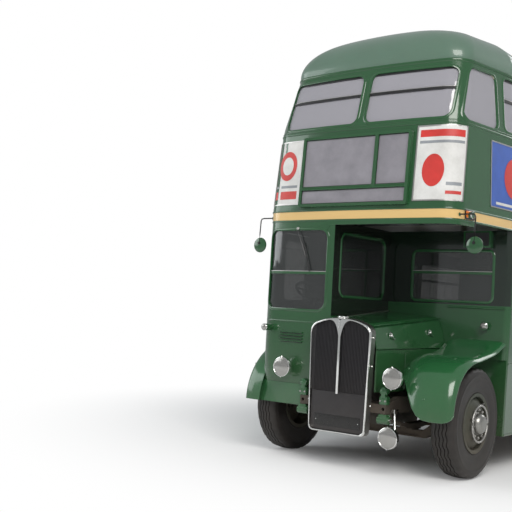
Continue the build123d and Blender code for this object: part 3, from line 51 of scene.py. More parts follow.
# %% [markdown]
# ## Camera
#
# The view was found from edges of known size, as a place, three turns and a focal length in pixels of a
# 512 by 512 picture. It could be set by eye, but then it would be off by a little. The principal point is
# not quite in the middle, which becomes the lens shift.

# %% Camera
CAMERA_AT = (4.457, -11.008, 1.463)
YAW, PITCH, ROLL = (math.radians(a) for a in (37.965, 2.594, 3.145))
FOCAL_PX, MIDDLE_PX = 888.781, (254.364, 266.652)
PICTURE = 512
SENSOR = 36.0


def placed_at(across, over, behind, at):
    """A matrix from three axes and a place."""
    pose = np.eye(4)
    pose[:3, :3] = np.column_stack([across, over, behind])
    pose[:3, 3] = at
    return Matrix(pose.tolist())


forward = np.array([-math.sin(YAW) * math.cos(PITCH), math.cos(YAW) * math.cos(PITCH), math.sin(PITCH)])
level_right = np.array([math.cos(YAW), math.sin(YAW), 0.0])
level_up = np.cross(level_right, forward)
right = level_right * math.cos(ROLL) + level_up * math.sin(ROLL)
up = level_up * math.cos(ROLL) - level_right * math.sin(ROLL)

camera_data = bpy.data.cameras.new("camera")
camera_data.lens = FOCAL_PX * SENSOR / PICTURE
camera_data.sensor_width = SENSOR
camera_data.shift_x = (PICTURE / 2 - MIDDLE_PX[0]) / PICTURE
camera_data.shift_y = (MIDDLE_PX[1] - PICTURE / 2) / PICTURE
camera_data.clip_end = 200.0
camera = bpy.data.objects.new("camera", camera_data)
camera.matrix_world = placed_at(right, up, -forward, CAMERA_AT)
bpy.context.scene.collection.objects.link(camera)
bpy.context.scene.camera = camera
bpy.context.scene.view_settings.view_transform = "Standard"
print(f"lens {camera_data.lens:.1f} mm, {CAMERA_AT[2]} m above the ground")

# %% [markdown]
# ## Wiring materials
#
# A real finish is never one flat colour. Every material here is a Principled shader whose colour, roughness
# and bump vary over the surface. Nodes could be wired one by one in the editor; the small helpers below
# do the same in one line each, so that a material reads like its recipe.


# %% Wiring materials
def fill(tree, socket, value):
    """Links an output to a socket, or sets the socket's value; a colour of three numbers gains its alpha."""
    if isinstance(value, bpy.types.NodeSocket):
        tree.links.new(value, socket)
    elif isinstance(value, tuple) and len(value) == 3:
        socket.default_value = (*value, 1)
    else:
        socket.default_value = value


def put(tree, kind, **sockets):
    """Adds a node and fills its inputs, by name or by number as i0, i1 and so on."""
    node = tree.nodes.new(kind)
    for key, value in sockets.items():
        numbered = key[0] == "i" and key[1:].isdigit()
        fill(tree, node.inputs[int(key[1:]) if numbered else key.replace("_", " ")], value)
    return node


def math_node(tree, operation, first, second, clamp=False):
    """One Math node's output."""
    node = put(tree, "ShaderNodeMath", i0=first, i1=second)
    node.operation = operation
    node.use_clamp = clamp
    return node.outputs[0]


def ramp(tree, factor, low, high):
    """A colour ramp between two (place, colour) stops; a number as colour is a grey."""
    node = put(tree, "ShaderNodeValToRGB", i0=factor)
    for element, (place, colour) in zip(node.color_ramp.elements, (low, high)):
        element.position = place
        element.color = (colour, colour, colour, 1) if isinstance(colour, float) else (*colour, 1)
    return node.outputs[0]


def mix(tree, factor, first, second):
    """A colour Mix node's output."""
    node = tree.nodes.new("ShaderNodeMix")
    node.data_type = "RGBA"
    for number, value in ((0, factor), (6, first), (7, second)):
        fill(tree, node.inputs[number], value)
    return node.outputs[2]


def noise(tree, place, scale, detail, rough):
    """A noise texture's value."""
    node = put(tree, "ShaderNodeTexNoise", Vector=place, Scale=scale, Detail=detail, Roughness=rough)
    return node.outputs[0]


def split(tree, vector):
    """A vector's X, Y and Z outputs."""
    return put(tree, "ShaderNodeSeparateXYZ", Vector=vector).outputs


def bump(tree, shader, height, strength, distance):
    """Feeds a height into the shader's normal."""
    node = put(tree, "ShaderNodeBump", Height=height, Strength=strength, Distance=distance)
    tree.links.new(node.outputs[0], shader.inputs["Normal"])


def times(colour, factor, more=0.0):
    """A lighter or darker colour."""
    return tuple(min(1.0, c * factor + more) for c in colour)


def new_material(name):
    """A material with its node tree, its Principled shader and the place in object space."""
    material = bpy.data.materials.new(name)
    material.use_nodes = True
    tree = material.node_tree
    tree.nodes.clear()
    shader = tree.nodes.new("ShaderNodeBsdfPrincipled")
    output = tree.nodes.new("ShaderNodeOutputMaterial")
    tree.links.new(shader.outputs[0], output.inputs[0])
    return material, tree, shader, put(tree, "ShaderNodeTexCoord").outputs["Object"]


# %% [markdown]
# ## Road dirt
#
# Wheels throw dust and oil at the lower panels, so a bus is dirtier towards the road. The dirt could be
# painted on an image, but one shared node group does it for every finish: it takes a colour and a roughness
# and covers them by height and by two sizes of noise.

# %% Road dirt
DIRT = (0.13, 0.105, 0.08)
DIRT_FALL = 1.6
FILM_SHARE = 0.10


def make_grime_group():
    """The group: Amount of dirt at the ground, none at the height Top, and a thin film everywhere."""
    group = bpy.data.node_groups.new("grime", "ShaderNodeTree")
    for name, kind, default in (
        ("Color", "NodeSocketColor", (0.5, 0.5, 0.5, 1)),
        ("Roughness", "NodeSocketFloat", 0.3),
        ("Top", "NodeSocketFloat", 1.2),
        ("Amount", "NodeSocketFloat", 0.5),
    ):
        group.interface.new_socket(name, in_out="INPUT", socket_type=kind).default_value = default
    group.interface.new_socket("Color", in_out="OUTPUT", socket_type="NodeSocketColor")
    group.interface.new_socket("Roughness", in_out="OUTPUT", socket_type="NodeSocketFloat")
    inside = group.nodes.new("NodeGroupInput").outputs
    outside = group.nodes.new("NodeGroupOutput").inputs
    place = put(group, "ShaderNodeTexCoord").outputs["Object"]
    low = math_node(group, "DIVIDE", split(group, place)["Z"], inside["Top"])
    low = math_node(group, "SUBTRACT", 1.0, low, clamp=True)
    low = math_node(group, "POWER", low, DIRT_FALL)
    spots = noise(group, place, 7.0, 6.0, 0.65)
    fine = noise(group, place, 60.0, 3.0, 0.6)
    mask = math_node(group, "MULTIPLY", math_node(group, "ADD", spots, fine), low)
    mask = math_node(group, "MULTIPLY", mask, inside["Amount"], clamp=True)
    film = math_node(group, "MULTIPLY", spots, math_node(group, "MULTIPLY", inside["Amount"], FILM_SHARE))
    mask = math_node(group, "ADD", mask, film, clamp=True)
    group.links.new(mix(group, mask, inside["Color"], DIRT), outside["Color"])
    rough = math_node(group, "ADD", inside["Roughness"], math_node(group, "MULTIPLY", mask, 0.5))
    group.links.new(rough, outside["Roughness"])
    return group


GRIME = make_grime_group()


def finish_with_grime(tree, shader, colour, roughness, top, amount):
    """Runs a colour and roughness through the grime group into the shader."""
    group = tree.nodes.new("ShaderNodeGroup")
    group.node_tree = GRIME
    for name, value in (("Color", colour), ("Roughness", roughness), ("Top", top), ("Amount", amount)):
        fill(tree, group.inputs[name], value)
    tree.links.new(group.outputs["Color"], shader.inputs["Base Color"])
    tree.links.new(group.outputs["Roughness"], shader.inputs["Roughness"])


# %% [markdown]
# ## Coach paint
#
# The body is brushed and varnished: deep green under a clear coat, with faint waves of the panels beneath.
# One solid wall is green outside, pale inside and cream along the band. It could be cut in three, but masks
# on height and on the face's direction keep it whole. The open cab front, the cab's inside, the bulkhead
# under the canopy and the canopy's underside sit in deep shade, so that shade is painted on them in near
# black.

# %% Coach paint
LOOKS_IN = -0.30
LOOKS_BACK = -3.42
LOOKS_DOWN = -0.6
CEILING_Z = 3.6
SHADE_Z, SHADE_X = 1.42, -0.25
SHADE_GREEN = (0.005, 0.009, 0.006)
CANOPY_BACK_Y = -2.72
CANOPY_SHADE_GREEN = (0.006, 0.010, 0.007)


def lining_mask(tree):
    """1 on faces that look into the bus or down from its ceiling, from the face's direction and place."""
    shape = put(tree, "ShaderNodeNewGeometry").outputs
    facing = split(tree, shape["Normal"])
    place = split(tree, shape["Position"])
    across = math_node(tree, "LESS_THAN", math_node(tree, "MULTIPLY", facing["X"], place["X"]), LOOKS_IN)
    along = math_node(tree, "LESS_THAN", math_node(tree, "MULTIPLY", facing["Y"], place["Y"]), LOOKS_BACK)
    below = math_node(tree, "LESS_THAN", facing["Z"], LOOKS_DOWN)
    high = math_node(tree, "GREATER_THAN", place["Z"], CEILING_Z)
    ceiling = math_node(tree, "MULTIPLY", below, high)
    return math_node(tree, "MAXIMUM", math_node(tree, "MAXIMUM", across, along), ceiling)


def coach_paint(
    name, colour, roughness=0.16, dirt_top=1.5, dirt=0.35, band=None, lining=None, shade=False, canopy=False
):
    """Coach paint with an optional height band of colour (cream on the body, painted shade on the bulkhead),
    an inner lining, and painted shade on the cab's open side and under the canopy.
    """
    material, tree, shader, place = new_material(name)
    x, y, z = split(tree, place)
    tone = mix(tree, noise(tree, place, 1.3, 5.0, 0.6), times(colour, 0.82), times(colour, 1.14, 0.004))
    if band:
        low, high, band_colour = band
        above = math_node(tree, "GREATER_THAN", z, low)
        below = math_node(tree, "LESS_THAN", z, high)
        tone = mix(tree, math_node(tree, "MULTIPLY", above, below), tone, band_colour)
    if lining:
        tone = mix(tree, lining_mask(tree), tone, lining)
    if shade:
        facing = split(tree, put(tree, "ShaderNodeNewGeometry").outputs["Normal"])
        above = math_node(tree, "GREATER_THAN", z, SHADE_Z)
        beyond = math_node(tree, "GREATER_THAN", x, SHADE_X)
        sideways = math_node(tree, "GREATER_THAN", facing["X"], 0.8)
        inner = math_node(tree, "MULTIPLY", beyond, sideways)
        tone = mix(tree, math_node(tree, "MULTIPLY", above, inner), tone, SHADE_GREEN)
    if canopy:
        tone = mix(tree, math_node(tree, "LESS_THAN", y, CANOPY_BACK_Y), tone, CANOPY_SHADE_GREEN)
    haze = math_node(tree, "MULTIPLY", noise(tree, place, 3.0, 4.0, 0.6), 0.1)
    rough = math_node(tree, "ADD", roughness - 0.04, haze)
    finish_with_grime(tree, shader, tone, rough, dirt_top, dirt)
    shader.inputs["Coat Weight"].default_value = 0.6
    shader.inputs["Coat Roughness"].default_value = 0.06
    brush_marks = math_node(tree, "MULTIPLY", noise(tree, place, 90.0, 2.0, 0.5), 0.04)
    waves = math_node(tree, "ADD", noise(tree, place, 2.2, 2.0, 0.5), brush_marks)
    bump(tree, shader, waves, 0.25, 0.01)
    return material


GREEN = (0.013, 0.080, 0.024)
BAND = (2.347, 2.428, (0.74, 0.50, 0.20))
# Painted shade: between these heights the bulkhead under the canopy is near black.
BULKHEAD_SHADE = (1.60, 2.40, (0.004, 0.013, 0.007))
LINING = (0.42, 0.39, 0.29)
paint_body = coach_paint("coach_green", GREEN, dirt=0.22, band=BAND, lining=LINING)
paint_lower = coach_paint("lower_green", GREEN, dirt_top=1.2, dirt=0.22, lining=(0.10, 0.11, 0.08))
# Painted shade: the cab's inside faces and its open nearside are near black.
paint_cab = coach_paint("cab_green_painted_shade", GREEN, lining=(0.016, 0.022, 0.017), shade=True)
paint_bulkhead = coach_paint("bulkhead_green", GREEN, band=BULKHEAD_SHADE)
paint_plain = coach_paint("panel_green", GREEN)
# The roof's lighter grey-green is partly a painted reflection: it stands for the sky's sheen on the green
# roof.
paint_roof = coach_paint("roof_green", (0.090, 0.180, 0.128), 0.30, 9.0, 0.3, lining=LINING)
paint_wing = coach_paint("wing_green", (0.016, 0.115, 0.036), 0.14, 1.2, 0.4)
# Painted shade: forward of the bulkhead, the canopy's underside is near black.
ceiling_paint = coach_paint("ceiling_cream_canopy_shade", (0.50, 0.47, 0.36), 0.4, 0.5, 0.1, canopy=True)

# %% [markdown]
# ## Metal and chassis paint
#
# Trim is polished but scratched, so the roughness follows a fine noise. Chassis paint is brushed on
# thickly and dulled by the road: its colour varies widely and it has no clear coat.


# %% Metal and chassis paint
def metal(name, colour, roughness, grain, dirt):
    """Polished or brushed metal with fine scratches and a little dirt."""
    material, tree, shader, place = new_material(name)
    tone = mix(tree, noise(tree, place, 6.0, 5.0, 0.6), times(colour, 0.85), colour)
    scratch = noise(tree, place, grain, 3.0, 0.7)
    rough = math_node(tree, "ADD", roughness * 0.7, math_node(tree, "MULTIPLY", scratch, roughness * 0.6))
    finish_with_grime(tree, shader, tone, rough, 1.2, dirt)
    shader.inputs["Metallic"].default_value = 1.0
    bump(tree, shader, scratch, 0.06, 0.002)
    return material


def rough_paint(name, colour, roughness=0.6, dirt=0.9, dirt_top=1.4, scale=18.0):
    """Chassis paint, dulled and dusted by the road."""
    material, tree, shader, place = new_material(name)
    tone = mix(tree, noise(tree, place, scale, 6.0, 0.7), times(colour, 0.6), times(colour, 1.5))
    finish_with_grime(tree, shader, tone, roughness, dirt_top, dirt)
    bump(tree, shader, noise(tree, place, 70.0, 4.0, 0.6), 0.25, 0.004)
    return material


bright = metal("polished_trim", (0.86, 0.86, 0.84), 0.10, 30.0, 0.12)
dull_metal = metal("dull_metal", (0.55, 0.54, 0.52), 0.34, 60.0, 0.4)
hub_metal = metal("hub_metal", (0.42, 0.42, 0.40), 0.24, 50.0, 0.5)
exhaust_metal = metal("heated_steel", (0.20, 0.14, 0.10), 0.5, 50.0, 0.9)
# This black also serves as painted shade under the louvres and in the bulkhead's small blind box.
black_paint_and_shade = rough_paint("grille_black", (0.016, 0.015, 0.018), 0.32, 0.25, 1.2)
chassis_paint = rough_paint("chassis_black", (0.022, 0.017, 0.013))
cast_paint = rough_paint("cast_grey", (0.07, 0.068, 0.06), 0.6, 0.7)
wheel_paint = rough_paint("wheel_paint", (0.022, 0.034, 0.022), 0.42, 0.8, 1.2)
# This rubber black also serves as painted shade: the gap in half-drop bars, the strip under window heads and
# the rims of the blind panes.
rubber_and_shade = rough_paint("window_rubber_and_painted_shade", (0.012, 0.012, 0.013), 0.45, 0.1)
enamel = rough_paint("pale_enamel", (0.62, 0.58, 0.45), 0.3, 0.2)
stair_paint = rough_paint("stair_paint", (0.035, 0.055, 0.03), 0.5, 0.5)
moulded_black = rough_paint("moulded_black", (0.012, 0.012, 0.012), 0.25, 0.05)

# %% [markdown]
# ## Glass
#
# The upper windows mirror a bright sky, while the lower ones look into a dark saloon. True refraction would
# need a street to reflect, so each pane is a half clear surface with a strong shine, tinted with painted
# light: a pale grey painted reflection of the sky on the upper panes, and near black painted shade of the
# saloon on the lower ones. A lamp glass is moulded with upright flutes that spread the beam, and a silvered
# bowl lies behind it.

# %% Glass
GLASS_HAZE = 0.06
FLUTE, WIDE_FLUTE = 0.006, 0.012


def glass_material(name, tint_and_painted_light, alpha):
    """Flat window glass with faint streaks; its tone is painted light, a reflection of the sky on the upper
    panes and shade of the saloon on the lower.
    """
    material, tree, shader, place = new_material(name)
    tone = mix(tree, noise(tree, place, 1.6, 4.0, 0.6), times(tint_and_painted_light, 0.92), tint_and_painted_light)
    tree.links.new(tone, shader.inputs["Base Color"])
    rough = math_node(tree, "MULTIPLY", noise(tree, place, 4.0, 5.0, 0.7), GLASS_HAZE)
    tree.links.new(rough, shader.inputs["Roughness"])
    shader.inputs["Alpha"].default_value = alpha
    shader.inputs["Specular IOR Level"].default_value = 0.9
    shader.inputs["Coat Weight"].default_value = 1.0
    return material


def lamp_material(name, colour, flute=FLUTE, silver=0.0):
    """Moulded lamp glass with fine upright flutes."""
    material, tree, shader, place = new_material(name)
    height = math_node(tree, "PINGPONG", math_node(tree, "DIVIDE", split(tree, place)["X"], flute), 0.5)
    tone = mix(tree, noise(tree, place, 30.0, 3.0, 0.6), times(colour, 0.8), colour)
    tree.links.new(tone, shader.inputs["Base Color"])
    shader.inputs["Roughness"].default_value = 0.12
    shader.inputs["Metallic"].default_value = silver
    shader.inputs["Coat Weight"].default_value = 0.8
    bump(tree, shader, height, 0.35, 0.003)
    return material


# Painted reflection of the sky on the upper panes; painted shade of the dark saloon behind the lower ones.
upper_pane = glass_material("upper_window_glass", (0.40, 0.39, 0.43), 0.78)
lower_pane = glass_material("lower_window_glass", (0.028, 0.031, 0.030), 0.62)
orange_glass = lamp_material("orange_glass", (0.85, 0.20, 0.015))
red_glass = lamp_material("red_glass", (0.5, 0.01, 0.01))
clear_glass = lamp_material("clear_lamp_glass", (0.40, 0.39, 0.37), WIDE_FLUTE, 0.72)

# %% [markdown]
# ## Rubber, boards, cloth and hide
#
# The floors are ribbed hardwood slats, made by folding one coordinate back and forth with Ping-Pong. The
# seats' wool has a small woven check, which the same fold gives in two directions. Hide gets its pebbles
# from a Voronoi texture.

# %% Rubber, boards, cloth and hide
CHECK = 0.07


def tyre_material():
    """Worn tyre rubber, nearly black, with brown dust on it."""
    material, tree, shader, place = new_material("tyre_rubber")
    cloud = noise(tree, place, 9.0, 6.0, 0.7)
    tone = ramp(tree, cloud, (0.3, (0.007, 0.006, 0.0055)), (0.7, (0.019, 0.015, 0.013)))
    finish_with_grime(tree, shader, tone, 0.5, 1.3, 0.10)
    bump(tree, shader, noise(tree, place, 160.0, 3.0, 0.6), 0.2, 0.002)
    return material


def board_material(name, colour, spacing, axis):
    """A floor of ribbed slats, darker between the ribs."""
    material, tree, shader, place = new_material(name)
    across = math_node(tree, "DIVIDE", split(tree, place)[axis], spacing)
    saw = math_node(tree, "PINGPONG", across, 0.5)
    rib = ramp(tree, math_node(tree, "MULTIPLY", saw, 2.0), (0.25, 0.0), (0.45, 1.0))
    tone = mix(tree, noise(tree, place, 14.0, 6.0, 0.7), times(colour, 0.6), times(colour, 1.3))
    tone = mix(tree, rib, times(colour, 0.35), tone)
    finish_with_grime(tree, shader, tone, 0.6, 3.0, 0.4)
    bump(tree, shader, rib, 0.5, 0.004)
    return material


def cloth_material():
    """Woollen seat cloth: a small check of dark green and maroon with a pale line, and a cut pile."""
    material, tree, shader, place = new_material("seat_cloth")
    x, y, z = split(tree, place)
    along = math_node(tree, "ADD", z, y)
    across = math_node(tree, "PINGPONG", math_node(tree, "DIVIDE", x, CHECK), 0.5)
    along = math_node(tree, "PINGPONG", math_node(tree, "DIVIDE", along, CHECK), 0.5)
    squares = [math_node(tree, "LESS_THAN", way, 0.16) for way in (across, along)]
    lines = [math_node(tree, "GREATER_THAN", way, 0.46) for way in (across, along)]
    tone = mix(tree, math_node(tree, "MAXIMUM", *squares), (0.035, 0.06, 0.03), (0.09, 0.015, 0.015))
    pale = math_node(tree, "MULTIPLY", math_node(tree, "MAXIMUM", *lines), 0.6)
    tone = mix(tree, pale, tone, (0.35, 0.25, 0.10))
    weave = noise(tree, place, 260.0, 2.0, 0.6)
    tone = mix(tree, math_node(tree, "MULTIPLY", weave, 0.35), tone, (0.02, 0.02, 0.015))
    finish_with_grime(tree, shader, tone, 0.85, 4.0, 0.1)
    shader.inputs["Sheen Weight"].default_value = 0.4
    bump(tree, shader, weave, 0.4, 0.002)
    return material


def hide_material(name, colour):
    """Leather or coated linen with a pebbled grain."""
    material, tree, shader, place = new_material(name)
    cells = put(tree, "ShaderNodeTexVoronoi", Vector=place, Scale=230.0).outputs["Distance"]
    tone = mix(tree, noise(tree, place, 5.0, 5.0, 0.6), times(colour, 0.6), times(colour, 1.4))
    finish_with_grime(tree, shader, tone, 0.42, 3.0, 0.2)
    bump(tree, shader, cells, 0.3, 0.0015)
    return material


tyre_rubber = tyre_material()
slat_floor = board_material("slat_floor", (0.20, 0.12, 0.06), 0.045, "X")
platform_floor = board_material("platform_cork", (0.16, 0.13, 0.10), 0.03, "Y")
seat_cloth = cloth_material()
brown_hide = hide_material("brown_hide", (0.06, 0.022, 0.012))
print(f"{len(bpy.data.materials)} materials")

# %% [markdown]
# ## Dressing the solids
#
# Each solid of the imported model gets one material. Those that a piece below stands for get one too, since
# they are still in the frame.

# %% Dressing the solids
CAD_LOOKS = (
    (paint_body, "upper_front_wall upper_side_walls upper_rear_wall"),
    (paint_roof, "roof"),
    (ceiling_paint, "upper_floor"),
    (paint_lower, "lower_side_walls lower_rear_wall"),
    (paint_bulkhead, "front_bulkhead"),
    (paint_cab, "cab_shell"),
    (paint_plain, "emergency_door rear_bulkhead cab_door destination_boxes"),
    (paint_plain, "bonnet_lid bonnet_side small_lamps"),
    (paint_wing, "front_wings"),
    (slat_floor, "lower_floor"),
    (platform_floor, "platform"),
    (stair_paint, "staircase"),
    (upper_pane, "upper_glass emergency_door_glass"),
    (lower_pane, "lower_glass cab_door_glass"),
    (bright, "radiator_shell headlamps"),
    (black_paint_and_shade, "radiator_core"),
    (chassis_paint, "chassis_frame cross_members fuel_tank road_springs front_axle rear_axle"),
    (chassis_paint, "knuckle_nearside knuckle_offside steering_column"),
    (cast_paint, "engine gearbox_and_shafts"),
    (exhaust_metal, "exhaust"),
    (moulded_black, "mirrors steering_wheel"),
    (enamel, "handrails"),
    (seat_cloth, "passenger_seats"),
    (brown_hide, "driver_seat"),
    (wheel_paint, "front_wheel_nearside front_wheel_offside rear_wheels_nearside rear_wheels_offside"),
    (tyre_rubber, "front_tyre_nearside front_tyre_offside rear_tyres_nearside rear_tyres_offside"),
)
bare = set(nodes)
for look, names in CAD_LOOKS:
    for name in names.split():
        nodes[name].data.materials.clear()
        nodes[name].data.materials.append(look)
        bare.discard(name)
print(f"{len(nodes) - len(bare)} solids dressed, {len(bare)} bare")

# %% [markdown]
# ## The body's shape as numbers
#
# A coachbuilder draws the body as plan outlines at several heights and fairs the panels between them. Each
# row here is one such outline: its height, the half widths at the side and at the nose, where the nose, the
# full width and the tail are, the two corner radii and the bow of the nose. Beads, frames and posters ask
# for points on that surface, so they lie on the panels wherever they go.

# %% The body's shape as numbers
UPPER = np.array([
    [2.335, 1.138, 1.052, -3.842, -2.74, 3.960, 0.200, 0.330, 0.042],
    [2.440, 1.140, 1.052, -3.848, -2.74, 3.9625, 0.200, 0.330, 0.042],
    [3.235, 1.124, 1.030, -3.788, -2.74, 3.955, 0.220, 0.340, 0.050],
    [3.850, 1.082, 0.972, -3.628, -2.74, 3.880, 0.240, 0.360, 0.060],
])
LOWER = np.array([
    [0.350, 1.116, 1.116, -2.74, -2.30, 3.938, 0.060, 0.320, 0.001],
    [1.560, 1.143, 1.143, -2.74, -2.30, 3.9625, 0.060, 0.330, 0.001],
    [2.335, 1.138, 1.138, -2.74, -2.30, 3.960, 0.060, 0.330, 0.001],
])
CAB = np.array([
    [0.740, 1.143, 1.062, -3.842, -2.74, 3.960, 0.200, 0.330, 0.042],
    [1.560, 1.143, 1.062, -3.842, -2.74, 3.960, 0.200, 0.330, 0.042],
    [2.335, 1.138, 1.052, -3.842, -2.74, 3.960, 0.200, 0.330, 0.042],
])
TAIL_BOW = 0.040
NOSE_STEPS, BEND_STEPS, TAPER_STEPS, SIDE_STEPS, TAIL_BEND_STEPS, TAIL_STEPS = 14, 12, 6, 40, 12, 10


def arc(centre, radius, start, turn, count):
    """Points on a circle, from an angle and through a turn."""
    a = np.linspace(start, start + turn, count)
    return np.column_stack([centre[0] + radius * np.cos(a), centre[1] + radius * np.sin(a)])


def half_outline(levels, z, out=0.0):
    """The +X half of the plan outline at a height: bowed nose, corner, taper, side, corner, bowed tail."""
    half, nose_half, y_nose, y_full, y_tail, r_nose, r_tail, bow = (
        np.interp(z, levels[:, 0], levels[:, i]) for i in range(1, 9)
    )
    half, nose_half, y_nose, y_tail = half + out, nose_half + out, y_nose - out, y_tail + out
    r_nose, r_tail = r_nose + out, r_tail + out
    taper = math.atan2(half - nose_half, y_full - y_nose)
    nose_turn, tail_turn = 2 * math.atan(bow / nose_half), 2 * math.atan(TAIL_BOW / half)
    nose_chord = nose_half - r_nose * math.cos(taper) + r_nose * math.sin(nose_turn)
    tail_chord = half - r_tail + r_tail * math.sin(tail_turn)
    nose_radius, tail_radius = nose_chord / math.sin(nose_turn), tail_chord / math.sin(tail_turn)
    nose_y, tail_y = y_nose + nose_radius, y_tail - tail_radius
    bend_y = nose_y - (nose_radius - r_nose) * math.cos(nose_turn)
    corner = (nose_chord - r_nose * math.sin(nose_turn), bend_y)
    tail = (half - r_tail, tail_y + (tail_radius - r_tail) * math.cos(tail_turn))
    quarter = math.pi / 2
    front = arc((0, nose_y), nose_radius, -quarter, nose_turn, NOSE_STEPS)
    bend = arc(corner, r_nose, nose_turn - quarter, quarter - nose_turn - taper, BEND_STEPS)
    straight = np.linspace(bend[-1], (half, y_full), TAPER_STEPS)
    side = np.linspace((half, y_full), (half, tail[1]), SIDE_STEPS)
    back_bend = arc(tail, r_tail, 0, quarter - tail_turn, TAIL_BEND_STEPS)
    back = arc((0, tail_y), tail_radius, quarter - tail_turn, tail_turn, TAIL_STEPS)
    return np.vstack([front, bend[1:], straight[1:], side[1:], back_bend[1:], back[1:]])


def side_x(levels, y, z, out=0.0):
    """How far from the middle the side wall lies at a place along it."""
    points = half_outline(levels, z, out)
    widest = np.argmax(points[:, 0])
    chosen = points[widest:] if y > points[widest, 1] else points[: widest + 1]
    return float(np.interp(y, chosen[:, 1], chosen[:, 0]))


def front_y(levels, x, z, out=0.0):
    """Where the nose lies at a distance from the middle."""
    points = half_outline(levels, z, out)[: NOSE_STEPS + BEND_STEPS]
    return float(np.interp(abs(x), points[:, 0], points[:, 1]))


def rear_y(levels, x, z, out=0.0):
    """Where the tail lies at a distance from the middle."""
    points = half_outline(levels, z, out)[1 - TAIL_BEND_STEPS - TAIL_STEPS :][::-1]
    return float(np.interp(abs(x), points[:, 0], points[:, 1]))


print(f"half width at the band {side_x(UPPER, 0.0, 2.40):.3f} m, nose at {front_y(UPPER, 0.0, 2.40):.3f} m")

# %% [markdown]
# ## Making meshes
#
# Small trim could be hundreds of objects, but what is fixed to one body is handled more easily as one
# piece. A `Builder` gathers points, faces and material numbers, and makes one object of them at the end.


# %% Making meshes
class Builder:
    """Collects points, faces and each face's material number, then makes one object of them."""

    def __init__(self):
        self.points, self.faces, self.looks, self.count = [], [], [], 0

    def add(self, points, faces, look=0):
        """Adds a form: points of any grid shape, and faces that count from this form's first point."""
        points = np.asarray(points, dtype=float).reshape(-1, 3)
        self.points.append(points)
        self.faces.extend([tuple(int(i) + self.count for i in face) for face in faces])
        self.looks.extend([look] * len(faces))
        self.count += len(points)

    def make(self, name, body, *materials, slot=None):
        """Makes the object, smooth with its corners kept sharp, and lets it ride a body."""
        mesh = bpy.data.meshes.new(name)
        mesh.from_pydata(np.vstack(self.points).tolist(), [], self.faces)
        mesh.polygons.foreach_set("material_index", np.array(self.looks, dtype=np.int32))
        mesh.polygons.foreach_set("use_smooth", np.ones(len(self.faces), dtype=bool))
        mesh.update()
        obj = bpy.data.objects.new(name, mesh)
        bpy.context.scene.collection.objects.link(obj)
        for material in materials:
            mesh.materials.append(material)
        mark_sharp(mesh)
        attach(obj, body)
        print(f"{name}: {len(self.faces)} faces on {body}")
        return obj


SHARP = math.radians(40)


def mark_sharp(mesh):
    """Turns all faces outwards, and marks the edges that smooth shading has to keep."""
    work = bmesh.new()
    work.from_mesh(mesh)
    bmesh.ops.recalc_face_normals(work, faces=work.faces)
    for edge in work.edges:
        if len(edge.link_faces) == 2 and edge.calc_face_angle(0) > SHARP:
            edge.smooth = False
    work.to_mesh(mesh)
    work.free()


# %% [markdown]
# ## Forms
#
# Nearly all trim is one of four forms: a tube along a path, a profile turned about an axis, a box with
# softened edges, or a grid of points on a wall. Each is a function of two parameters, worked out at once
# for all its points.


# %% Forms
def grid_faces(rows, columns, wrap_rows=False, wrap_columns=False):
    """Quads that join a grid of points, optionally closed round either way."""
    faces = []
    for i in range(rows if wrap_rows else rows - 1):
        for j in range(columns if wrap_columns else columns - 1):
            a, b = i, (i + 1) % rows
            c, d = j, (j + 1) % columns
            faces.append((a * columns + c, b * columns + c, b * columns + d, a * columns + d))
    return faces


def full_turn(count):
    """Angles of a whole turn without its repeated end."""
    return np.linspace(0, 2 * math.pi, count, endpoint=False)


def tube(builder, path, radius, sides=8, closed=False, look=0, squash=(1.0, 1.0)):
    """A round or oval tube along a path: path point + radius * (cos a * sideways + sin a * upwards)."""
    path = np.asarray(path, dtype=float)
    run = np.roll(path, -1, axis=0) - np.roll(path, 1, axis=0) if closed else np.gradient(path, axis=0)
    run /= np.linalg.norm(run, axis=1)[:, None]
    side = np.cross(run, np.array([0.0, 0.0, 1.0]))
    flat = np.linalg.norm(side, axis=1) < 0.05
    side[flat] = np.cross(run[flat], np.array([0.0, 1.0, 0.0]))
    side /= np.linalg.norm(side, axis=1)[:, None]
    lift = np.cross(side, run)
    angle = full_turn(sides) + math.pi / sides
    ring = (
        path[:, None, :]
        + radius * squash[0] * np.cos(angle)[None, :, None] * side[:, None, :]
        + radius * squash[1] * np.sin(angle)[None, :, None] * lift[:, None, :]
    )
    count = len(path)
    faces = grid_faces(count, sides, wrap_rows=closed, wrap_columns=True)
    if not closed:
        faces += [tuple(range(sides))[::-1], tuple((count - 1) * sides + i for i in range(sides))]
    builder.add(ring, faces, look)


def add_bmesh(builder, work, look=0):
    """Moves a bmesh's points and faces into a builder."""
    work.verts.ensure_lookup_table()
    work.verts.index_update()
    points = [tuple(vertex.co) for vertex in work.verts]
    faces = [[vertex.index for vertex in face.verts] for face in work.faces]
    work.free()
    builder.add(points, faces, look)


def block(builder, low, high, look=0, bevel=0.002):
    """A box between two corners, with its twelve edges cut back by the bevel."""
    low, high = np.array(low, dtype=float), np.array(high, dtype=float)
    work = bmesh.new()
    bmesh.ops.create_cube(work, size=1.0)
    centre, size = (low + high) / 2, high - low
    for vertex in work.verts:
        vertex.co = [c + v * s for c, v, s in zip(centre, vertex.co, size)]
    bmesh.ops.bevel(work, geom=list(work.edges), offset=bevel, segments=2, profile=0.7, affect="EDGES")
    add_bmesh(builder, work, look)


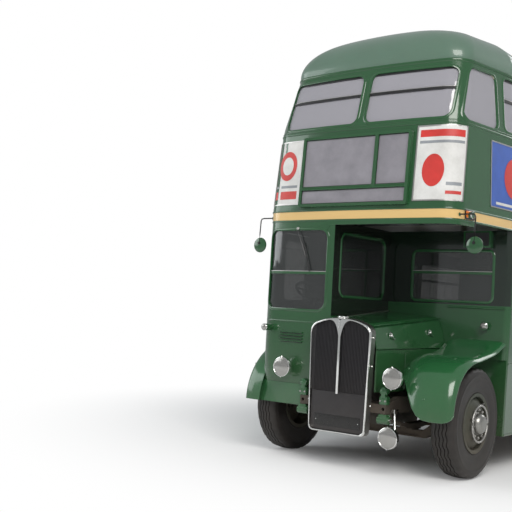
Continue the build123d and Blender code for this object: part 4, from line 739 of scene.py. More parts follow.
def lathe(builder, profile, centre, axis, turns=32, look=0):
    """Turns (along, radius) points about an axis: centre + along * axis + radius * the way round."""
    axis = np.asarray(axis, dtype=float) / np.linalg.norm(axis)
    hint = np.array([0.0, 0.0, 1.0]) if abs(axis[2]) < 0.9 else np.array([1.0, 0.0, 0.0])
    one = np.cross(axis, hint)
    one /= np.linalg.norm(one)
    two = np.cross(axis, one)
    profile = np.asarray(profile, dtype=float)
    angle = full_turn(turns)
    round_way = np.cos(angle)[:, None] * one + np.sin(angle)[:, None] * two
    points = (
        np.asarray(centre)[None, None, :]
        + profile[None, :, 0, None] * axis
        + profile[None, :, 1, None] * round_way[:, None, :]
    )
    builder.add(points, grid_faces(turns, len(profile), wrap_rows=True), look)


# %% [markdown]
# ## Laying flat forms on a wall
#
# A window frame or a poster is drawn flat, then wrapped onto its wall. A mapping takes how far along, how
# high and how far out, and gives the point in the bus; the same drawing works on the nose, the tail and
# the sides.

# %% Laying flat forms on a wall
QUARTER = (-3.640, -3.055, 3.262, 3.780, 0.070)
QUARTER_LEAN = 0.182
WALL_STEP, SHEET = 0.12, 0.003


def on_side(levels, side):
    """A mapping from (along, up, out) on a side wall to a point."""
    return lambda u, v, out: (side * side_x(levels, u, v, out), u, v)


def on_front(levels):
    """A mapping from (across, up, out) on the nose to a point."""
    return lambda u, v, out: (u, front_y(levels, u, v, out), v)


def on_rear(levels):
    """A mapping from (across, up, out) on the tail to a point."""
    return lambda u, v, out: (u, rear_y(levels, u, v, out), v)


def on_bulkhead(y):
    """A mapping from (across, up, out) onto a flat wall that faces forwards."""
    return lambda u, v, out: (u, y - out, v)


def on_inner_side(x):
    """A mapping from (along, up, out) onto the cab's flat inner side, which faces the nearside."""
    return lambda u, v, out: (x + out, u, v)


def on_corner(side):
    """As on_side, for the corner window, whose front edge leans back as it rises."""
    wall = on_side(UPPER, side)

    def place(u, v, out):
        """Moves u by QUARTER_LEAN times (1 - share along) times (share up)."""
        ahead = 1 - (u - QUARTER[0]) / (QUARTER[1] - QUARTER[0])
        rise = (v - QUARTER[2]) / (QUARTER[3] - QUARTER[2])
        return wall(u + QUARTER_LEAN * ahead * rise, v, out)

    return place


def rounded_rectangle(u0, u1, v0, v1, radius, steps):
    """Points round a rectangle with rounded corners, anticlockwise."""
    points = []
    near, far, low, high = u0 + radius, u1 - radius, v0 + radius, v1 - radius
    for cu, cv, start in ((far, high, 0), (near, high, 90), (near, low, 180), (far, low, 270)):
        for k in range(steps + 1):
            a = math.radians(start + 90 * k / steps)
            points.append((cu + radius * math.cos(a), cv + radius * math.sin(a)))
    return points


def frame_band(builder, place, window, section, look=0):
    """A frame round a window: the section lists (how far outside the opening, how far out of the wall)."""
    u0, u1, v0, v1, radius = window
    loops = []
    for grow, _ in section:
        loop = rounded_rectangle(u0 - grow, u1 + grow, v0 - grow, v1 + grow, max(0.004, radius + grow), 5)
        loops.append(list(zip(loop, loop[1:] + loop[:1])))
    steps = [max(1, *(math.ceil(math.dist(*run) / WALL_STEP) for run in runs)) for runs in zip(*loops)]
    rings = []
    for loop, (_, out) in zip(loops, section):
        ring = []
        for (a, b), count in zip(loop, steps):
            for t in (k / count for k in range(count)):
                ring.append(place(a[0] + (b[0] - a[0]) * t, a[1] + (b[1] - a[1]) * t, out))
        rings.append(ring)
    builder.add(rings, grid_faces(len(rings), len(rings[0]), wrap_columns=True), look)


def bar(builder, place, u0, u1, v, height, out0, out1, look=0):
    """A flat glazing bar across a window, in short steps that follow the wall."""
    count = max(2, math.ceil((u1 - u0) / WALL_STEP) + 1)
    rows = []
    for dv, out in ((-height / 2, out0), (-height / 2, out1), (height / 2, out1), (height / 2, out0)):
        rows.append([place(u, v + dv, out) for u in np.linspace(u0, u1, count)])
    builder.add(rows, grid_faces(4, count, wrap_rows=True), look)


def panel(builder, place, u0, u1, v0, v1, out, look=0, step=0.1):
    """A thin sheet on a wall, with its own narrow edge."""
    us = np.linspace(u0, u1, max(2, math.ceil((u1 - u0) / step) + 1))
    vs = np.linspace(v0, v1, max(2, math.ceil((v1 - v0) / step) + 1))
    face = [[place(u, v, out) for v in vs] for u in us]
    builder.add(face, grid_faces(len(us), len(vs)), look)
    rim = [(u, v0) for u in us] + [(u1, v) for v in vs[1:]]
    rim += [(u, v1) for u in us[::-1][1:]] + [(u0, v) for v in vs[::-1][1:-1]]
    rings = [[place(u, v, out) for u, v in rim], [place(u, v, out - SHEET) for u, v in rim]]
    builder.add(rings, grid_faces(2, len(rim), wrap_columns=True), look)


def disc(builder, place, u, v, ru, rv, out, look=0, count=40):
    """A flat ellipse on a wall, as three rings and a middle."""
    angle = full_turn(count)
    rings = []
    for s in (1.0, 0.55, 0.1):
        rings.append([place(u + ru * s * math.cos(a), v + rv * s * math.sin(a), out) for a in angle])
    faces = grid_faces(3, count, wrap_columns=True) + [tuple(range(2 * count, 3 * count))]
    builder.add(rings, faces, look)


# %% [markdown]
# ## Windows
#
# Coach windows sit in pressed pans with rounded corners, and most have a half-drop: an upper pane that
# slides down behind the lower one, with a bar where they meet. Each frame is one narrow section swept round
# the opening. The half-drop bar is dark, painted shade of the gap between the panes, with a thin bright edge;
# the fixed ones are painted green. A dark strip under each half-drop window's head is painted shadow.

# %% Windows
UPPER_SILL, UPPER_HEAD = 3.280, 3.792
LOWER_SILL, LOWER_HEAD = 1.625, 2.170
HALF_PILLAR = 0.045
PILLARS = (-1.625, -0.280, 1.065, 2.410)
BULKHEAD_Y, CAB_INNER_X = -2.740, -0.180
HALF_DROP, SCREEN_SPLIT, BULKHEAD_SPLIT = 0.42, 0.54, 0.43


def bays(first, low, high):
    """The windows between one pillar and the next along a side."""
    edges = (first, *PILLARS)
    return [(a + HALF_PILLAR, b - HALF_PILLAR, low, high, 0.062) for a, b in zip(edges, edges[1:])]


UPPER_BAYS = bays(-2.970, UPPER_SILL, UPPER_HEAD)
UPPER_REAR_BAY = (2.455, 3.480, UPPER_SILL, UPPER_HEAD, 0.090)
LOWER_BAYS = bays(-2.695, LOWER_SILL, LOWER_HEAD)
FRONT_WINDOWS = ((-0.905, -0.045, 3.278, 3.770, 0.070), (0.045, 0.905, 3.278, 3.770, 0.070))
BULKHEAD_WINDOWS = ((0.095, 0.955, 1.640, 2.125, 0.045), (-0.930, -0.300, 1.640, 2.125, 0.045))
WINDSCREEN = (-0.985, -0.262, 1.470, 2.245, 0.085)
CAB_SIDE = (-3.700, -2.860, 1.625, 2.215, 0.075)
DOOR_WINDOW = (-3.435, -2.950, 1.560, 2.190, 0.070)
LOWER_REAR = (0.060, 0.900, 1.450, 2.130, 0.080)
PANES = ((-0.600, -0.030, 3.170, 3.740, 0.070), (0.030, 0.600, 3.170, 3.740, 0.070))
PAN = ((0.026, 0.0), (0.022, 0.004), (0.010, 0.006), (0.000, 0.004), (-0.004, -0.013))

window_trim, door_trim, emergency_trim = Builder(), Builder(), Builder()
window_sets = [
    (window_trim, on_front(UPPER), FRONT_WINDOWS, HALF_DROP),
    (window_trim, on_rear(LOWER), (LOWER_REAR,), 0.0),
    (window_trim, on_front(CAB), (WINDSCREEN,), SCREEN_SPLIT),
    (window_trim, on_bulkhead(BULKHEAD_Y), BULKHEAD_WINDOWS, BULKHEAD_SPLIT),
    (window_trim, on_inner_side(CAB_INNER_X), (CAB_SIDE,), 0.0),
    (door_trim, on_side(CAB, -1), (DOOR_WINDOW,), 0.0),
    (emergency_trim, on_rear(UPPER), PANES, 0.0),
]
for hand in (1, -1):
    window_sets += [
        (window_trim, on_corner(hand), [QUARTER], 0.0),
        (window_trim, on_side(UPPER, hand), [*UPPER_BAYS, UPPER_REAR_BAY], HALF_DROP),
        (window_trim, on_side(LOWER, hand), LOWER_BAYS, HALF_DROP),
    ]
for builder, place, windows, drop in window_sets:
    for window in windows:
        frame_band(builder, place, window, PAN)
        u0, u1, v0, v1, _ = window
        v = v1 - drop * (v1 - v0)
        slides = drop == HALF_DROP
        if drop:
            # On sliding panes this dark bar is painted shade of the gap between the panes.
            bar(builder, place, u0 + 0.001, u1 - 0.001, v, 0.026, -0.013, -0.003, 2 if slides else 0)
            bar(builder, place, u0 + 0.001, u1 - 0.001, v + 0.0155, 0.006, -0.013, -0.004, 1)
        if slides:
            # A dark strip under the window's head: painted shadow of the recess.
            bar(builder, place, u0 + 0.030, u1 - 0.030, v1 - 0.010, 0.018, -0.013, -0.006, 2)
window_trim.make("window_frames", ROOT, paint_plain, dull_metal, rubber_and_shade)
door_trim.make("cab_door_window_frame", "cab_door", paint_plain)
emergency_trim.make("emergency_window_frames", "emergency_door", paint_plain)

# %% [markdown]
# ## Beading
#
# Half-round beads cover the joins between panels and run right round the bus. They are thin oval tubes
# along the body's own outline. Two of them cross the emergency door, so they stop at its edges, and the
# piece between rides on the door. The rear wheel arches get a bead of their own.

# %% Beading
BEAD_OUT = 0.001
FULL_BEADS = ((2.339, 0.009), (2.436, 0.009), (3.842, 0.016))
SILL_BEADS = ((3.222, 0.011), (3.248, 0.006))
SIDE_BEADS = ((1.575, 0.012), (1.598, 0.006), (1.045, 0.009), (0.362, 0.010))
ARCH_TOP_Z, ARCH_R, ARCH_EDGES = 1.10, 0.592, (1.125, 2.325)
SIDE_START = -2.69
DOORWAY = 0.668
AXLE_Z = 0.509
FRONT_AXLE_Y, REAR_AXLE_Y = -3.2525, 1.7255


def around(levels, z):
    """The whole plan outline at a height as a closed path."""
    points = half_outline(levels, z, BEAD_OUT)
    left = points[1:-1][::-1] * np.array([-1.0, 1.0])
    loop = np.vstack([points, left])
    return np.column_stack([loop, np.full(len(loop), z)])


def along_side(side, y0, y1, z):
    """A path along one side of the lower deck at a height."""
    ys = np.linspace(y0, y1, max(2, int(abs(y1 - y0) / 0.15)))
    return [(side * side_x(LOWER, y, z, BEAD_OUT), y, z) for y in ys]


beads, door_beads = Builder(), Builder()
for z, size in FULL_BEADS:
    tube(beads, around(UPPER, z), size, closed=True, squash=(0.55, 1.0))
for z, size in SILL_BEADS:
    ring = around(UPPER, z)
    tail = int(np.argmax(ring[:, 1] - 0.001 * np.abs(ring[:, 0])))
    ring = np.roll(ring, -tail, axis=0)
    kept = ring[(ring[:, 1] < 3.0) | (np.abs(ring[:, 0]) > DOORWAY)]
    ends = [(x, rear_y(UPPER, x, z, BEAD_OUT), z) for x in (0.664, -0.664)]
    start = min(ends, key=lambda p: math.dist(p, kept[0]))
    stop = min(ends, key=lambda p: math.dist(p, kept[-1]))
    tube(beads, np.vstack([[start], kept, [stop]]), size, squash=(0.55, 1.0))
    door_path = [(x, rear_y(UPPER, x, z, BEAD_OUT), z) for x in np.linspace(-0.650, 0.650, 16)]
    tube(door_beads, door_path, size, squash=(0.55, 1.0))
for hand, y_end in ((1, 2.405), (-1, 3.62)):
    for z, size in SIDE_BEADS:
        stops = (SIDE_START, y_end) if z > ARCH_TOP_Z else (SIDE_START, *ARCH_EDGES, y_end)
        for y0, y1 in zip(stops[::2], stops[1::2]):
            tube(beads, along_side(hand, y0, y1, z), size, squash=(0.5, 1.0))
    arch = arc((REAR_AXLE_Y, AXLE_Z), ARCH_R, 0, math.pi, 40)
    tube(beads, [(hand * side_x(LOWER, y, z, 0.004), y, z) for y, z in arch], 0.012, squash=(0.8, 1.0))
tube(beads, [(x, -2.744, 1.575) for x in np.linspace(0.50, 1.10, 5)], 0.011, squash=(0.6, 1.0))
cab_bead = [(x, front_y(CAB, x, 1.345, BEAD_OUT), 1.345) for x in np.linspace(-0.99, -0.20, 14)]
tube(beads, cab_bead, 0.008, squash=(0.6, 1.0))
beads.make("beading", ROOT, paint_plain)
door_beads.make("emergency_door_beads", "emergency_door", paint_plain)

# %% [markdown]
# ## Posters
#
# Bus sides are let as poster space: paper sheets behind narrow metal rims. Each is a thin sheet wrapped
# onto the wall, with bars and discs a little further out, so that nothing flickers. The designs are plain
# shapes in white, red and blue.

# %% Posters
WHITE, RED, BLUE, GREY, RIM = range(5)
poster_white = rough_paint("poster_white", (0.72, 0.71, 0.66), 0.4, 0.25, 6.0, 3.0)
poster_red = rough_paint("poster_red", (0.55, 0.03, 0.025), 0.4, 0.2, 6.0, 3.0)
poster_blue = rough_paint("poster_blue", (0.03, 0.10, 0.42), 0.4, 0.2, 6.0, 3.0)
poster_grey = rough_paint("poster_grey", (0.25, 0.27, 0.29), 0.4, 0.2, 6.0, 3.0)
SHEET_OUT, PRINT_OUT, RIM_OUT, RIM_WIDE, RIM_LAP = 0.003, 0.005, 0.006, 0.012, 0.005
posters = Builder()


def poster(place, rim, ground, bars, step):
    """A sheet in a narrow rim, which is (u0, u1, v0, v1), with bars of (u0, u1, v0, v1, colour)."""
    u0, u1, v0, v1 = rim
    sheet = (u0 + RIM_LAP, u1 - RIM_LAP, v0 + RIM_LAP, v1 - RIM_LAP)
    panel(posters, place, *sheet, SHEET_OUT, ground, step)
    for v in (v0, v1 - RIM_WIDE):
        panel(posters, place, u0, u1, v, v + RIM_WIDE, RIM_OUT, RIM)
    for u in (u0, u1 - RIM_WIDE):
        panel(posters, place, u, u + RIM_WIDE, v0, v1, RIM_OUT, RIM)
    for *strip, colour in bars:
        panel(posters, place, *strip, PRINT_OUT, colour, step)


def wrap(u, v, out):
    """Maps a distance round the nearside front corner onto the nose and then the side."""
    points = half_outline(UPPER, v, out)
    lengths = np.concatenate([[0], np.cumsum(np.linalg.norm(np.diff(points, axis=0), axis=1))])
    return (float(np.interp(u, lengths, points[:, 0])), float(np.interp(u, lengths, points[:, 1])), v)


nose = on_front(UPPER)
nose_bars = ((-0.955, -0.675, 2.560, 2.640, RED), (-0.955, -0.675, 2.675, 2.700, GREY))
poster(nose, (-0.99, -0.64, 2.50, 3.155), WHITE, nose_bars, 0.1)
disc(posters, nose, -0.815, 2.900, 0.115, 0.150, PRINT_OUT, RED)
disc(posters, nose, -0.815, 2.900, 0.070, 0.092, RIM_OUT, WHITE)
corner_bars = (
    (0.655, 1.080, 3.090, 3.155, RED), (0.655, 1.080, 3.030, 3.055, GREY),
    (0.930, 1.080, 2.560, 2.590, RED), (0.930, 1.080, 2.640, 2.670, GREY),
)
poster(wrap, (0.62, 1.115, 2.50, 3.200), WHITE, corner_bars, 0.04)
disc(posters, wrap, 0.800, 2.780, 0.105, 0.150, PRINT_OUT, RED)
for hand, start, stop in ((1, -3.18, 2.35), (-1, -2.60, 3.0)):
    place = on_side(UPPER, hand)
    foot_bar = (start + 0.1, stop - 0.1, 2.550, 2.575, WHITE)
    poster(place, (start - RIM_LAP, stop + RIM_LAP, 2.515, 3.145), BLUE, (foot_bar,), 0.06)
    for i, u in enumerate(np.linspace(start + 0.45, stop - 0.45, 4)):
        disc(posters, place, u, 2.83, 0.30 if i % 2 else 0.20, 0.20, PRINT_OUT, WHITE if i % 2 else RED)
posters.make("posters", ROOT, poster_white, poster_red, poster_blue, poster_grey, dull_metal)

# %% [markdown]
# ## Destination blinds
#
# The boxes on the nose show cloth blinds wound on rollers behind glass. They are blank grey linen here,
# with a slight wave from the rollers; their lilac grey is partly a painted reflection of the sky on the
# glass, and their dark rubber rims also stand for painted shade at the panes' edges. The boxes lean back with
# the nose, so the panes are drawn on a leaning plane. A small box of the same kind sits in the bulkhead, over
# the platform side; its blind is near black, painted shade under the canopy.

# %% Destination blinds
LEAN = math.atan2(UPPER[2, 3] - UPPER[1, 3], UPPER[2, 0] - UPPER[1, 0])
BOX_FACE_Y, BOX_FACE_Z = -3.874, 2.440
BOX_PANES = ((-0.586, 0.559, 2.496, 2.637), (-0.586, 0.209, 2.663, 3.144), (0.235, 0.559, 2.663, 3.144))
BEZEL = ((0.010, 0.0005), (0.007, 0.004), (-0.002, 0.004), (-0.006, -0.012))
BLIND_RUBBER_AND_SHADE = ((0.004, -0.0120), (-0.009, -0.0095), (-0.011, -0.0125))
SMALL_BEZEL = ((0.008, 0.0), (0.006, 0.003), (-0.003, 0.003), (-0.004, -0.006))
# The linen's lilac grey is partly a painted reflection of the sky on the box glass.
blind_with_sheen = hide_material("blind_linen_and_painted_sheen", (0.23, 0.22, 0.245))


def on_box(u, v, out):
    """Maps (across, up, out) onto the destination box's leaning face."""
    rise = v - BOX_FACE_Z
    y = BOX_FACE_Y + rise * math.sin(LEAN) - out * math.cos(LEAN)
    return (u, y, BOX_FACE_Z + rise * math.cos(LEAN) + out * math.sin(LEAN))


blinds = Builder()
for u0, u1, v0, v1 in BOX_PANES:
    us = np.linspace(u0 + 0.002, u1 - 0.002, 24)
    vs = np.linspace(v0 + 0.002, v1 - 0.002, 10)
    face = [[on_box(u, v, -0.0125 + 0.0012 * math.sin(v * 55 + u * 3)) for v in vs] for u in us]
    blinds.add(face, grid_faces(len(us), len(vs)))
    frame_band(blinds, on_box, (u0, u1, v0, v1, 0.014), BEZEL, 1)
    # The dark rubber ring also stands for painted shade along the panes' edges.
    frame_band(blinds, on_box, (u0, u1, v0, v1, 0.010), BLIND_RUBBER_AND_SHADE, 2)
# The small box's blind is near black: painted shade under the canopy.
panel(blinds, on_bulkhead(-2.794), 0.684, 0.934, 2.181, 2.314, 0.0005, 3)
frame_band(blinds, on_bulkhead(-2.802), (0.682, 0.936, 2.179, 2.316, 0.01), SMALL_BEZEL, 1)
blinds.make("blinds", ROOT, blind_with_sheen, paint_plain, rubber_and_shade, black_paint_and_shade)

# %% [markdown]
# ## Tyres
#
# A bus tyre has a stepped sidewall, notched shoulders and zigzag grooves. The grooves could be bump alone,
# but they show at the tyre's edge, so they are cut: one section is turned about the axle in 120 steps, its
# tread shifts sideways every second step, and its shoulders sink at every fourth.

# %% Tyres
FRONT_TYRE_X, REAR_TYRE_X = 0.972, (0.690, 0.975)
TYRE_TURNS = 120
GROOVES = (-0.052, -0.018, 0.018, 0.052)
GROOVE_HALF, GROOVE_DEEP, ZIGZAG, NOTCH = 0.004, 0.012, 0.005, 0.009
CROWN_DROP, CROWN_HALF = 0.009, 0.084
SIDEWALL = (
    (0.092, 0.2530), (0.093, 0.2620), (0.099, 0.2770), (0.104, 0.2860), (0.1055, 0.2900), (0.1045, 0.2940),
    (0.110, 0.3180), (0.1150, 0.3480), (0.1175, 0.3760), (0.1188, 0.4000), (0.1178, 0.4280), (0.1190, 0.4310),
    (0.1190, 0.4380), (0.1170, 0.4410), (0.1150, 0.4620), (0.1090, 0.4780),
)
SHOULDER = ((0.099, 0.492, 1), (0.090, 0.5000, 1), (0.074, 0.5015, 0))


def tyre(builder, x, y):
    """One road tyre: a section of (from the middle, radius), turned about its axle."""
    wall = [(a, r, 0) for a, r in SIDEWALL] + list(SHOULDER)
    edges = ((-GROOVE_HALF, 0), (-GROOVE_HALF * 0.6, 1), (GROOVE_HALF * 0.6, 1), (GROOVE_HALF, 0))
    tread = [(centre + shift, depth) for centre in GROOVES for shift, depth in edges]
    rings = []
    for k, a in enumerate(full_turn(TYRE_TURNS)):
        zig = ZIGZAG * (1 if k % 4 < 2 else -1)
        sunk = NOTCH if k % 4 == 0 else 0.0
        row = [(-u, r - sunk * notched) for u, r, notched in wall]
        row += [(u + zig, AXLE_Z - CROWN_DROP * (u / CROWN_HALF) ** 2 - GROOVE_DEEP * d) for u, d in tread]
        row += [(u, r - sunk * notched) for u, r, notched in wall[::-1]]
        rings.append([(x + u, y + r * math.cos(a), AXLE_Z + r * math.sin(a)) for u, r in row])
    builder.add(rings, grid_faces(TYRE_TURNS, len(rings[0]), wrap_rows=True, wrap_columns=True))


for side, name in ((1, "nearside"), (-1, "offside")):
    front = Builder()
    tyre(front, side * FRONT_TYRE_X, FRONT_AXLE_Y)
    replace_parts(front.make(f"front_tread_{name}", f"{name}_front_wheel", tyre_rubber), f"front_tyre_{name}")
    rear = Builder()
    for x in REAR_TYRE_X:
        tyre(rear, side * x, REAR_AXLE_Y)
    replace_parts(rear.make(f"rear_treads_{name}", f"{name}_rear_wheels", tyre_rubber), f"rear_tyres_{name}")

# %% [markdown]
# ## Wheel nuts and hubs
#
# A ring of ten nuts holds each wheel, and the front ones stand inside a guard ring, which is also a step.
# The hub has a turned cover with its own small bolts, and the tyre is held by a lock ring. All of it turns
# with the wheel, so it is one piece on the wheel's body.

# %% Wheel nuts and hubs
WHEEL_NUTS, HUB_BOLTS, GUARD_STAYS = 10, 8, 5
NUT_R, GUARD_R = 0.128, 0.166
FRONT_HUB = (
    (0.117, 0.104), (0.1195, 0.102), (0.126, 0.0955), (0.151, 0.0935), (0.166, 0.084), (0.1795, 0.0715),
    (0.1835, 0.060), (0.1850, 0.030), (0.1855, 0.0),
)
REAR_HUB = (
    (-0.096, 0.120), (-0.0935, 0.118), (-0.088, 0.106), (0.041, 0.1015), (0.054, 0.088), (0.0675, 0.0755),
    (0.0715, 0.060), (0.0725, 0.030), (0.0730, 0.0),
)
LOCK_RING = ((0.101, 0.2450), (0.1085, 0.2560), (0.1095, 0.2650), (0.1085, 0.2770), (0.1050, 0.2780))


def nut(builder, x, y, z, facing, size=0.015, high=0.019, look=0):
    """A six-sided nut with a domed stud end, facing along X."""
    work = bmesh.new()
    bmesh.ops.create_cone(work, cap_ends=True, segments=6, radius1=size, radius2=size, depth=high)
    rims = [edge for edge in work.edges if abs(edge.verts[0].co.z - edge.verts[1].co.z) < 1e-6]
    bmesh.ops.bevel(work, geom=rims, offset=0.0015, segments=1, affect="EDGES")
    for vertex in work.verts:
        a, b, c = vertex.co
        vertex.co = (x + facing * (c + high / 2), y + a, z + b)
    add_bmesh(builder, work, look)
    stud = ((0, 0.0095), (high + 0.004, 0.0095), (high + 0.008, 0.006), (high + 0.009, 0.0))
    lathe(builder, stud, (x, y, z), (facing, 0, 0), 12, look)


def wheel_dressing(side, name, x, y, body, face, hub, guard):
    """Nuts, guard, hub cover, valve and lock ring; face and guard are distances from the tyre's middle."""
    trim = Builder()
    middle = (side * x, y, AXLE_Z)

    def at(along, r, a):
        """The point at a distance along the axle, a radius and an angle round it."""
        return (side * (x + along), y + r * math.cos(a), AXLE_Z + r * math.sin(a))

    for k in range(WHEEL_NUTS):
        nut(trim, *at(face, NUT_R, 2 * math.pi * (k + 0.5) / WHEEL_NUTS), side, look=1)
    if guard:
        tube(trim, [at(guard, GUARD_R, a) for a in full_turn(48)], 0.010, 10, closed=True, look=1)
        for k in range(GUARD_STAYS):
            a = 2 * math.pi * (k + 0.25) / GUARD_STAYS
            stay = ((guard, 0.164), (guard - 0.012, 0.156), (face + 0.004, 0.148))
            tube(trim, [at(along, r, a) for along, r in stay], 0.007)
    lathe(trim, hub, middle, (side, 0, 0), 40)
    flange_out, flange_r = hub[1]
    for k in range(HUB_BOLTS):
        bolt = at(flange_out, (flange_r - 0.004) * 0.93, 2 * math.pi * k / HUB_BOLTS + 0.2)
        nut(trim, *bolt, side, 0.006, 0.006)
    valve = ((0.062, 0.238), (0.085, 0.236), (0.103, 0.248))
    tube(trim, [(side * (x + u), y + r * 0.7, AXLE_Z + r * 0.7) for u, r in valve], 0.0055, look=1)
    lathe(trim, LOCK_RING, middle, (side, 0, 0), 64, 2)
    trim.make(f"wheel_dressing_{name}", body, hub_metal, dull_metal, wheel_paint)


for side, name in ((1, "nearside"), (-1, "offside")):
    front_body, rear_body = f"{name}_front_wheel", f"{name}_rear_wheels"
    wheel_dressing(side, f"front_{name}", FRONT_TYRE_X, FRONT_AXLE_Y, front_body, 0.1135, FRONT_HUB, 0.142)
    wheel_dressing(side, f"rear_{name}", REAR_TYRE_X[1], REAR_AXLE_Y, rear_body, -0.0965, REAR_HUB, None)

# %% [markdown]
# ## Lamps
#
# A headlamp is a bright bowl closed by a domed, fluted glass in a rolled rim. Small lamps get their own
# glass and ring by place: clear at the front, orange on the band, and red or orange at the rear. Each glass
# and rim is a turned profile.

# %% Lamps
HEADLAMPS = ((-0.652, 0.897, -3.946), (0.566, 0.892, -3.940), (0.551, 0.360, -3.946))
HEADLAMP_DOME = (
    (0.0008, 0.0905), (0.0040, 0.0860), (0.0085, 0.0700), (0.0122, 0.0450), (0.0140, 0.0200), (0.0144, 0.0),
)
HEADLAMP_RIM = (
    (-0.0320, 0.0985), (-0.0230, 0.0995), (-0.0060, 0.0990), (0.0030, 0.0960), (0.0055, 0.0915),
    (0.0020, 0.0885), (-0.0010, 0.0890),
)
FORWARDS, BACKWARDS = (0, -1, 0), (0, 1, 0)
HEAD_GLASS, CHROME, CLEAR, ORANGE, REAR_RED, BASE = range(6)
SMALL_LAMPS = (
    ((-0.925, -3.901, 1.270), FORWARDS, 0.034, CLEAR), ((0.911, -2.800, 1.400), FORWARDS, 0.038, CLEAR),
    ((1.110, -3.580, 2.388), (1, 0, 0), 0.030, ORANGE), ((-1.110, -3.580, 2.388), (-1, 0, 0), 0.030, ORANGE),
    ((-0.760, 3.9845, 1.050), BACKWARDS, 0.040, REAR_RED),
    ((0.760, 3.9845, 1.050), BACKWARDS, 0.040, REAR_RED),
    ((-0.760, 3.9845, 0.900), BACKWARDS, 0.040, ORANGE), ((0.760, 3.9845, 0.900), BACKWARDS, 0.040, ORANGE),
)
lamp_glass = Builder()
for x, z, rim_y in HEADLAMPS:
    lathe(lamp_glass, HEADLAMP_DOME, (x, rim_y, z), FORWARDS, 48, HEAD_GLASS)
    lathe(lamp_glass, HEADLAMP_RIM, (x, rim_y, z), FORWARDS, 48, CHROME)
    clip = [(x, rim_y - 0.0065, z + 0.094), (x, rim_y - 0.004, z + 0.102), (x, rim_y + 0.008, z + 0.104)]
    tube(lamp_glass, clip, 0.005, look=CHROME)
    foot = ((x - 0.006, rim_y - 0.008, z - 0.1035), (x + 0.006, rim_y + 0.012, z - 0.094))
    block(lamp_glass, *foot, CHROME)
for at, way, r, look in SMALL_LAMPS:
    dome = ((-0.0030, r * 0.86), (-0.0012, r * 0.84), (-0.0004, r * 0.55), (-0.0001, 0.0))
    if look == CLEAR:
        dome = ((0.0005, r * 0.86), (0.005, r * 0.76), (0.0085, r * 0.4), (0.0095, 0.0))
    lathe(lamp_glass, dome, at, way, 28, look)
    ring = [(-0.016, r + 0.0015), (-0.003, r + 0.0025)]
    ring += [(-0.0003, r * 0.97), (-0.0006, r * 0.86), (-0.004, r * 0.85)]
    lathe(lamp_glass, ring, at, way, 28, CHROME)


def densify(points, longest):
    """Adds points along a closed loop's long runs, so it can follow a curved wall."""
    out = []
    for (a, b), (c, d) in zip(points, points[1:] + points[:1]):
        steps = max(1, math.ceil(math.hypot(c - a, d - b) / longest))
        out += [(a + (c - a) * k / steps, b + (d - b) * k / steps) for k in range(steps)]
    return out


def wrapped_block(builder, u0, u1, v0, v1, out, side, look):
    """A raised, softened block that follows the front corner round, on one side."""
    rows = []
    for grow, height in ((0.0, 0.0), (0.0, out * 0.7), (0.006, out)):
        loop = densify(rounded_rectangle(u0 + grow, u1 - grow, v0 + grow, v1 - grow, 0.014, 3), 0.03)
        rows.append([(side * x, y, z) for x, y, z in (wrap(u, v, height) for u, v in loop)])
    count = min(len(row) for row in rows)
    rows = [[row[round(i * len(row) / count) % len(row)] for i in range(count)] for row in rows]
    faces = grid_faces(3, count, wrap_columns=True) + [tuple(range(2 * count, 3 * count))]
    builder.add(rows, faces, look)


for side in (1, -1):
    wrapped_block(lamp_glass, 1.150, 1.320, 2.350, 2.438, 0.012, side, BASE)
    wrapped_block(lamp_glass, 1.165, 1.305, 2.362, 2.426, 0.021, side, ORANGE)
lamp_looks = (clear_glass, bright, clear_glass, orange_glass, red_glass, moulded_black)
lamp_glass.make("lamp_glasses", ROOT, *lamp_looks)

# %% [markdown]
# ## Radiator
#
# The radiator stands in a polished shell with a shouldered crown, a centre bar and two drooping crown
# pieces, over upright slats and a dark plate at the foot. The shell's outline is one closed loop; loops of
# it at several depths and insets give the rolled rim, and the same loop closes the plate behind the slats.

# %% Radiator
SHELL_Y = -3.9490
PLATE_Y = -3.9135
SLAT_Y, SLAT_FOOT_Z, SLATS = -3.9215, 0.715, 17
FOOT_R, CROWN_R = 0.052, 0.098
RIM_STEPS = (
    (0.0, -3.8572), (0.0, -3.9340), (0.0022, -3.9405), (0.0055, -3.9462), (0.0085, SHELL_Y),
    (0.0130, SHELL_Y), (0.0155, -3.9462), (0.0160, -3.9150),
)


def radiator_loop(inset, y):
    """The radiator's outline at a distance inside its edge: rounded foot corners and a shouldered crown."""
    low, shoulder, high = 0.333 + inset, 1.330 - inset, 1.408 - inset
    half_low, half_high = 0.311 - inset, 0.333 - inset
    loop = [(0.0, low), (half_low - FOOT_R, low)]
    for a in np.radians(np.linspace(-80, 0, 8)):
        loop.append((half_low - FOOT_R + FOOT_R * math.cos(a), low + FOOT_R + FOOT_R * math.sin(a)))
    for t in np.linspace(0.05, 1.0, 14):
        z = low + FOOT_R + (shoulder - 0.060 - low - FOOT_R) * t
        loop.append((half_low + (half_high - half_low) * t, z))
    for a in np.radians(np.linspace(8, 72, 9)):
        loop.append((half_high - CROWN_R + CROWN_R * math.cos(a), shoulder - 0.062 + CROWN_R * math.sin(a)))
    for t in np.linspace(0.06, 1.0, 18):
        rise = (high - shoulder - 0.036) * (1 - (1 - t) ** 2.2) ** 0.9
        loop.append(((half_high - CROWN_R * 0.86) * (1 - t), shoulder + 0.036 + rise))
    mirrored = [(-x, z) for x, z in loop[-2:0:-1]]
    return [(x, y, z) for x, z in loop + mirrored]


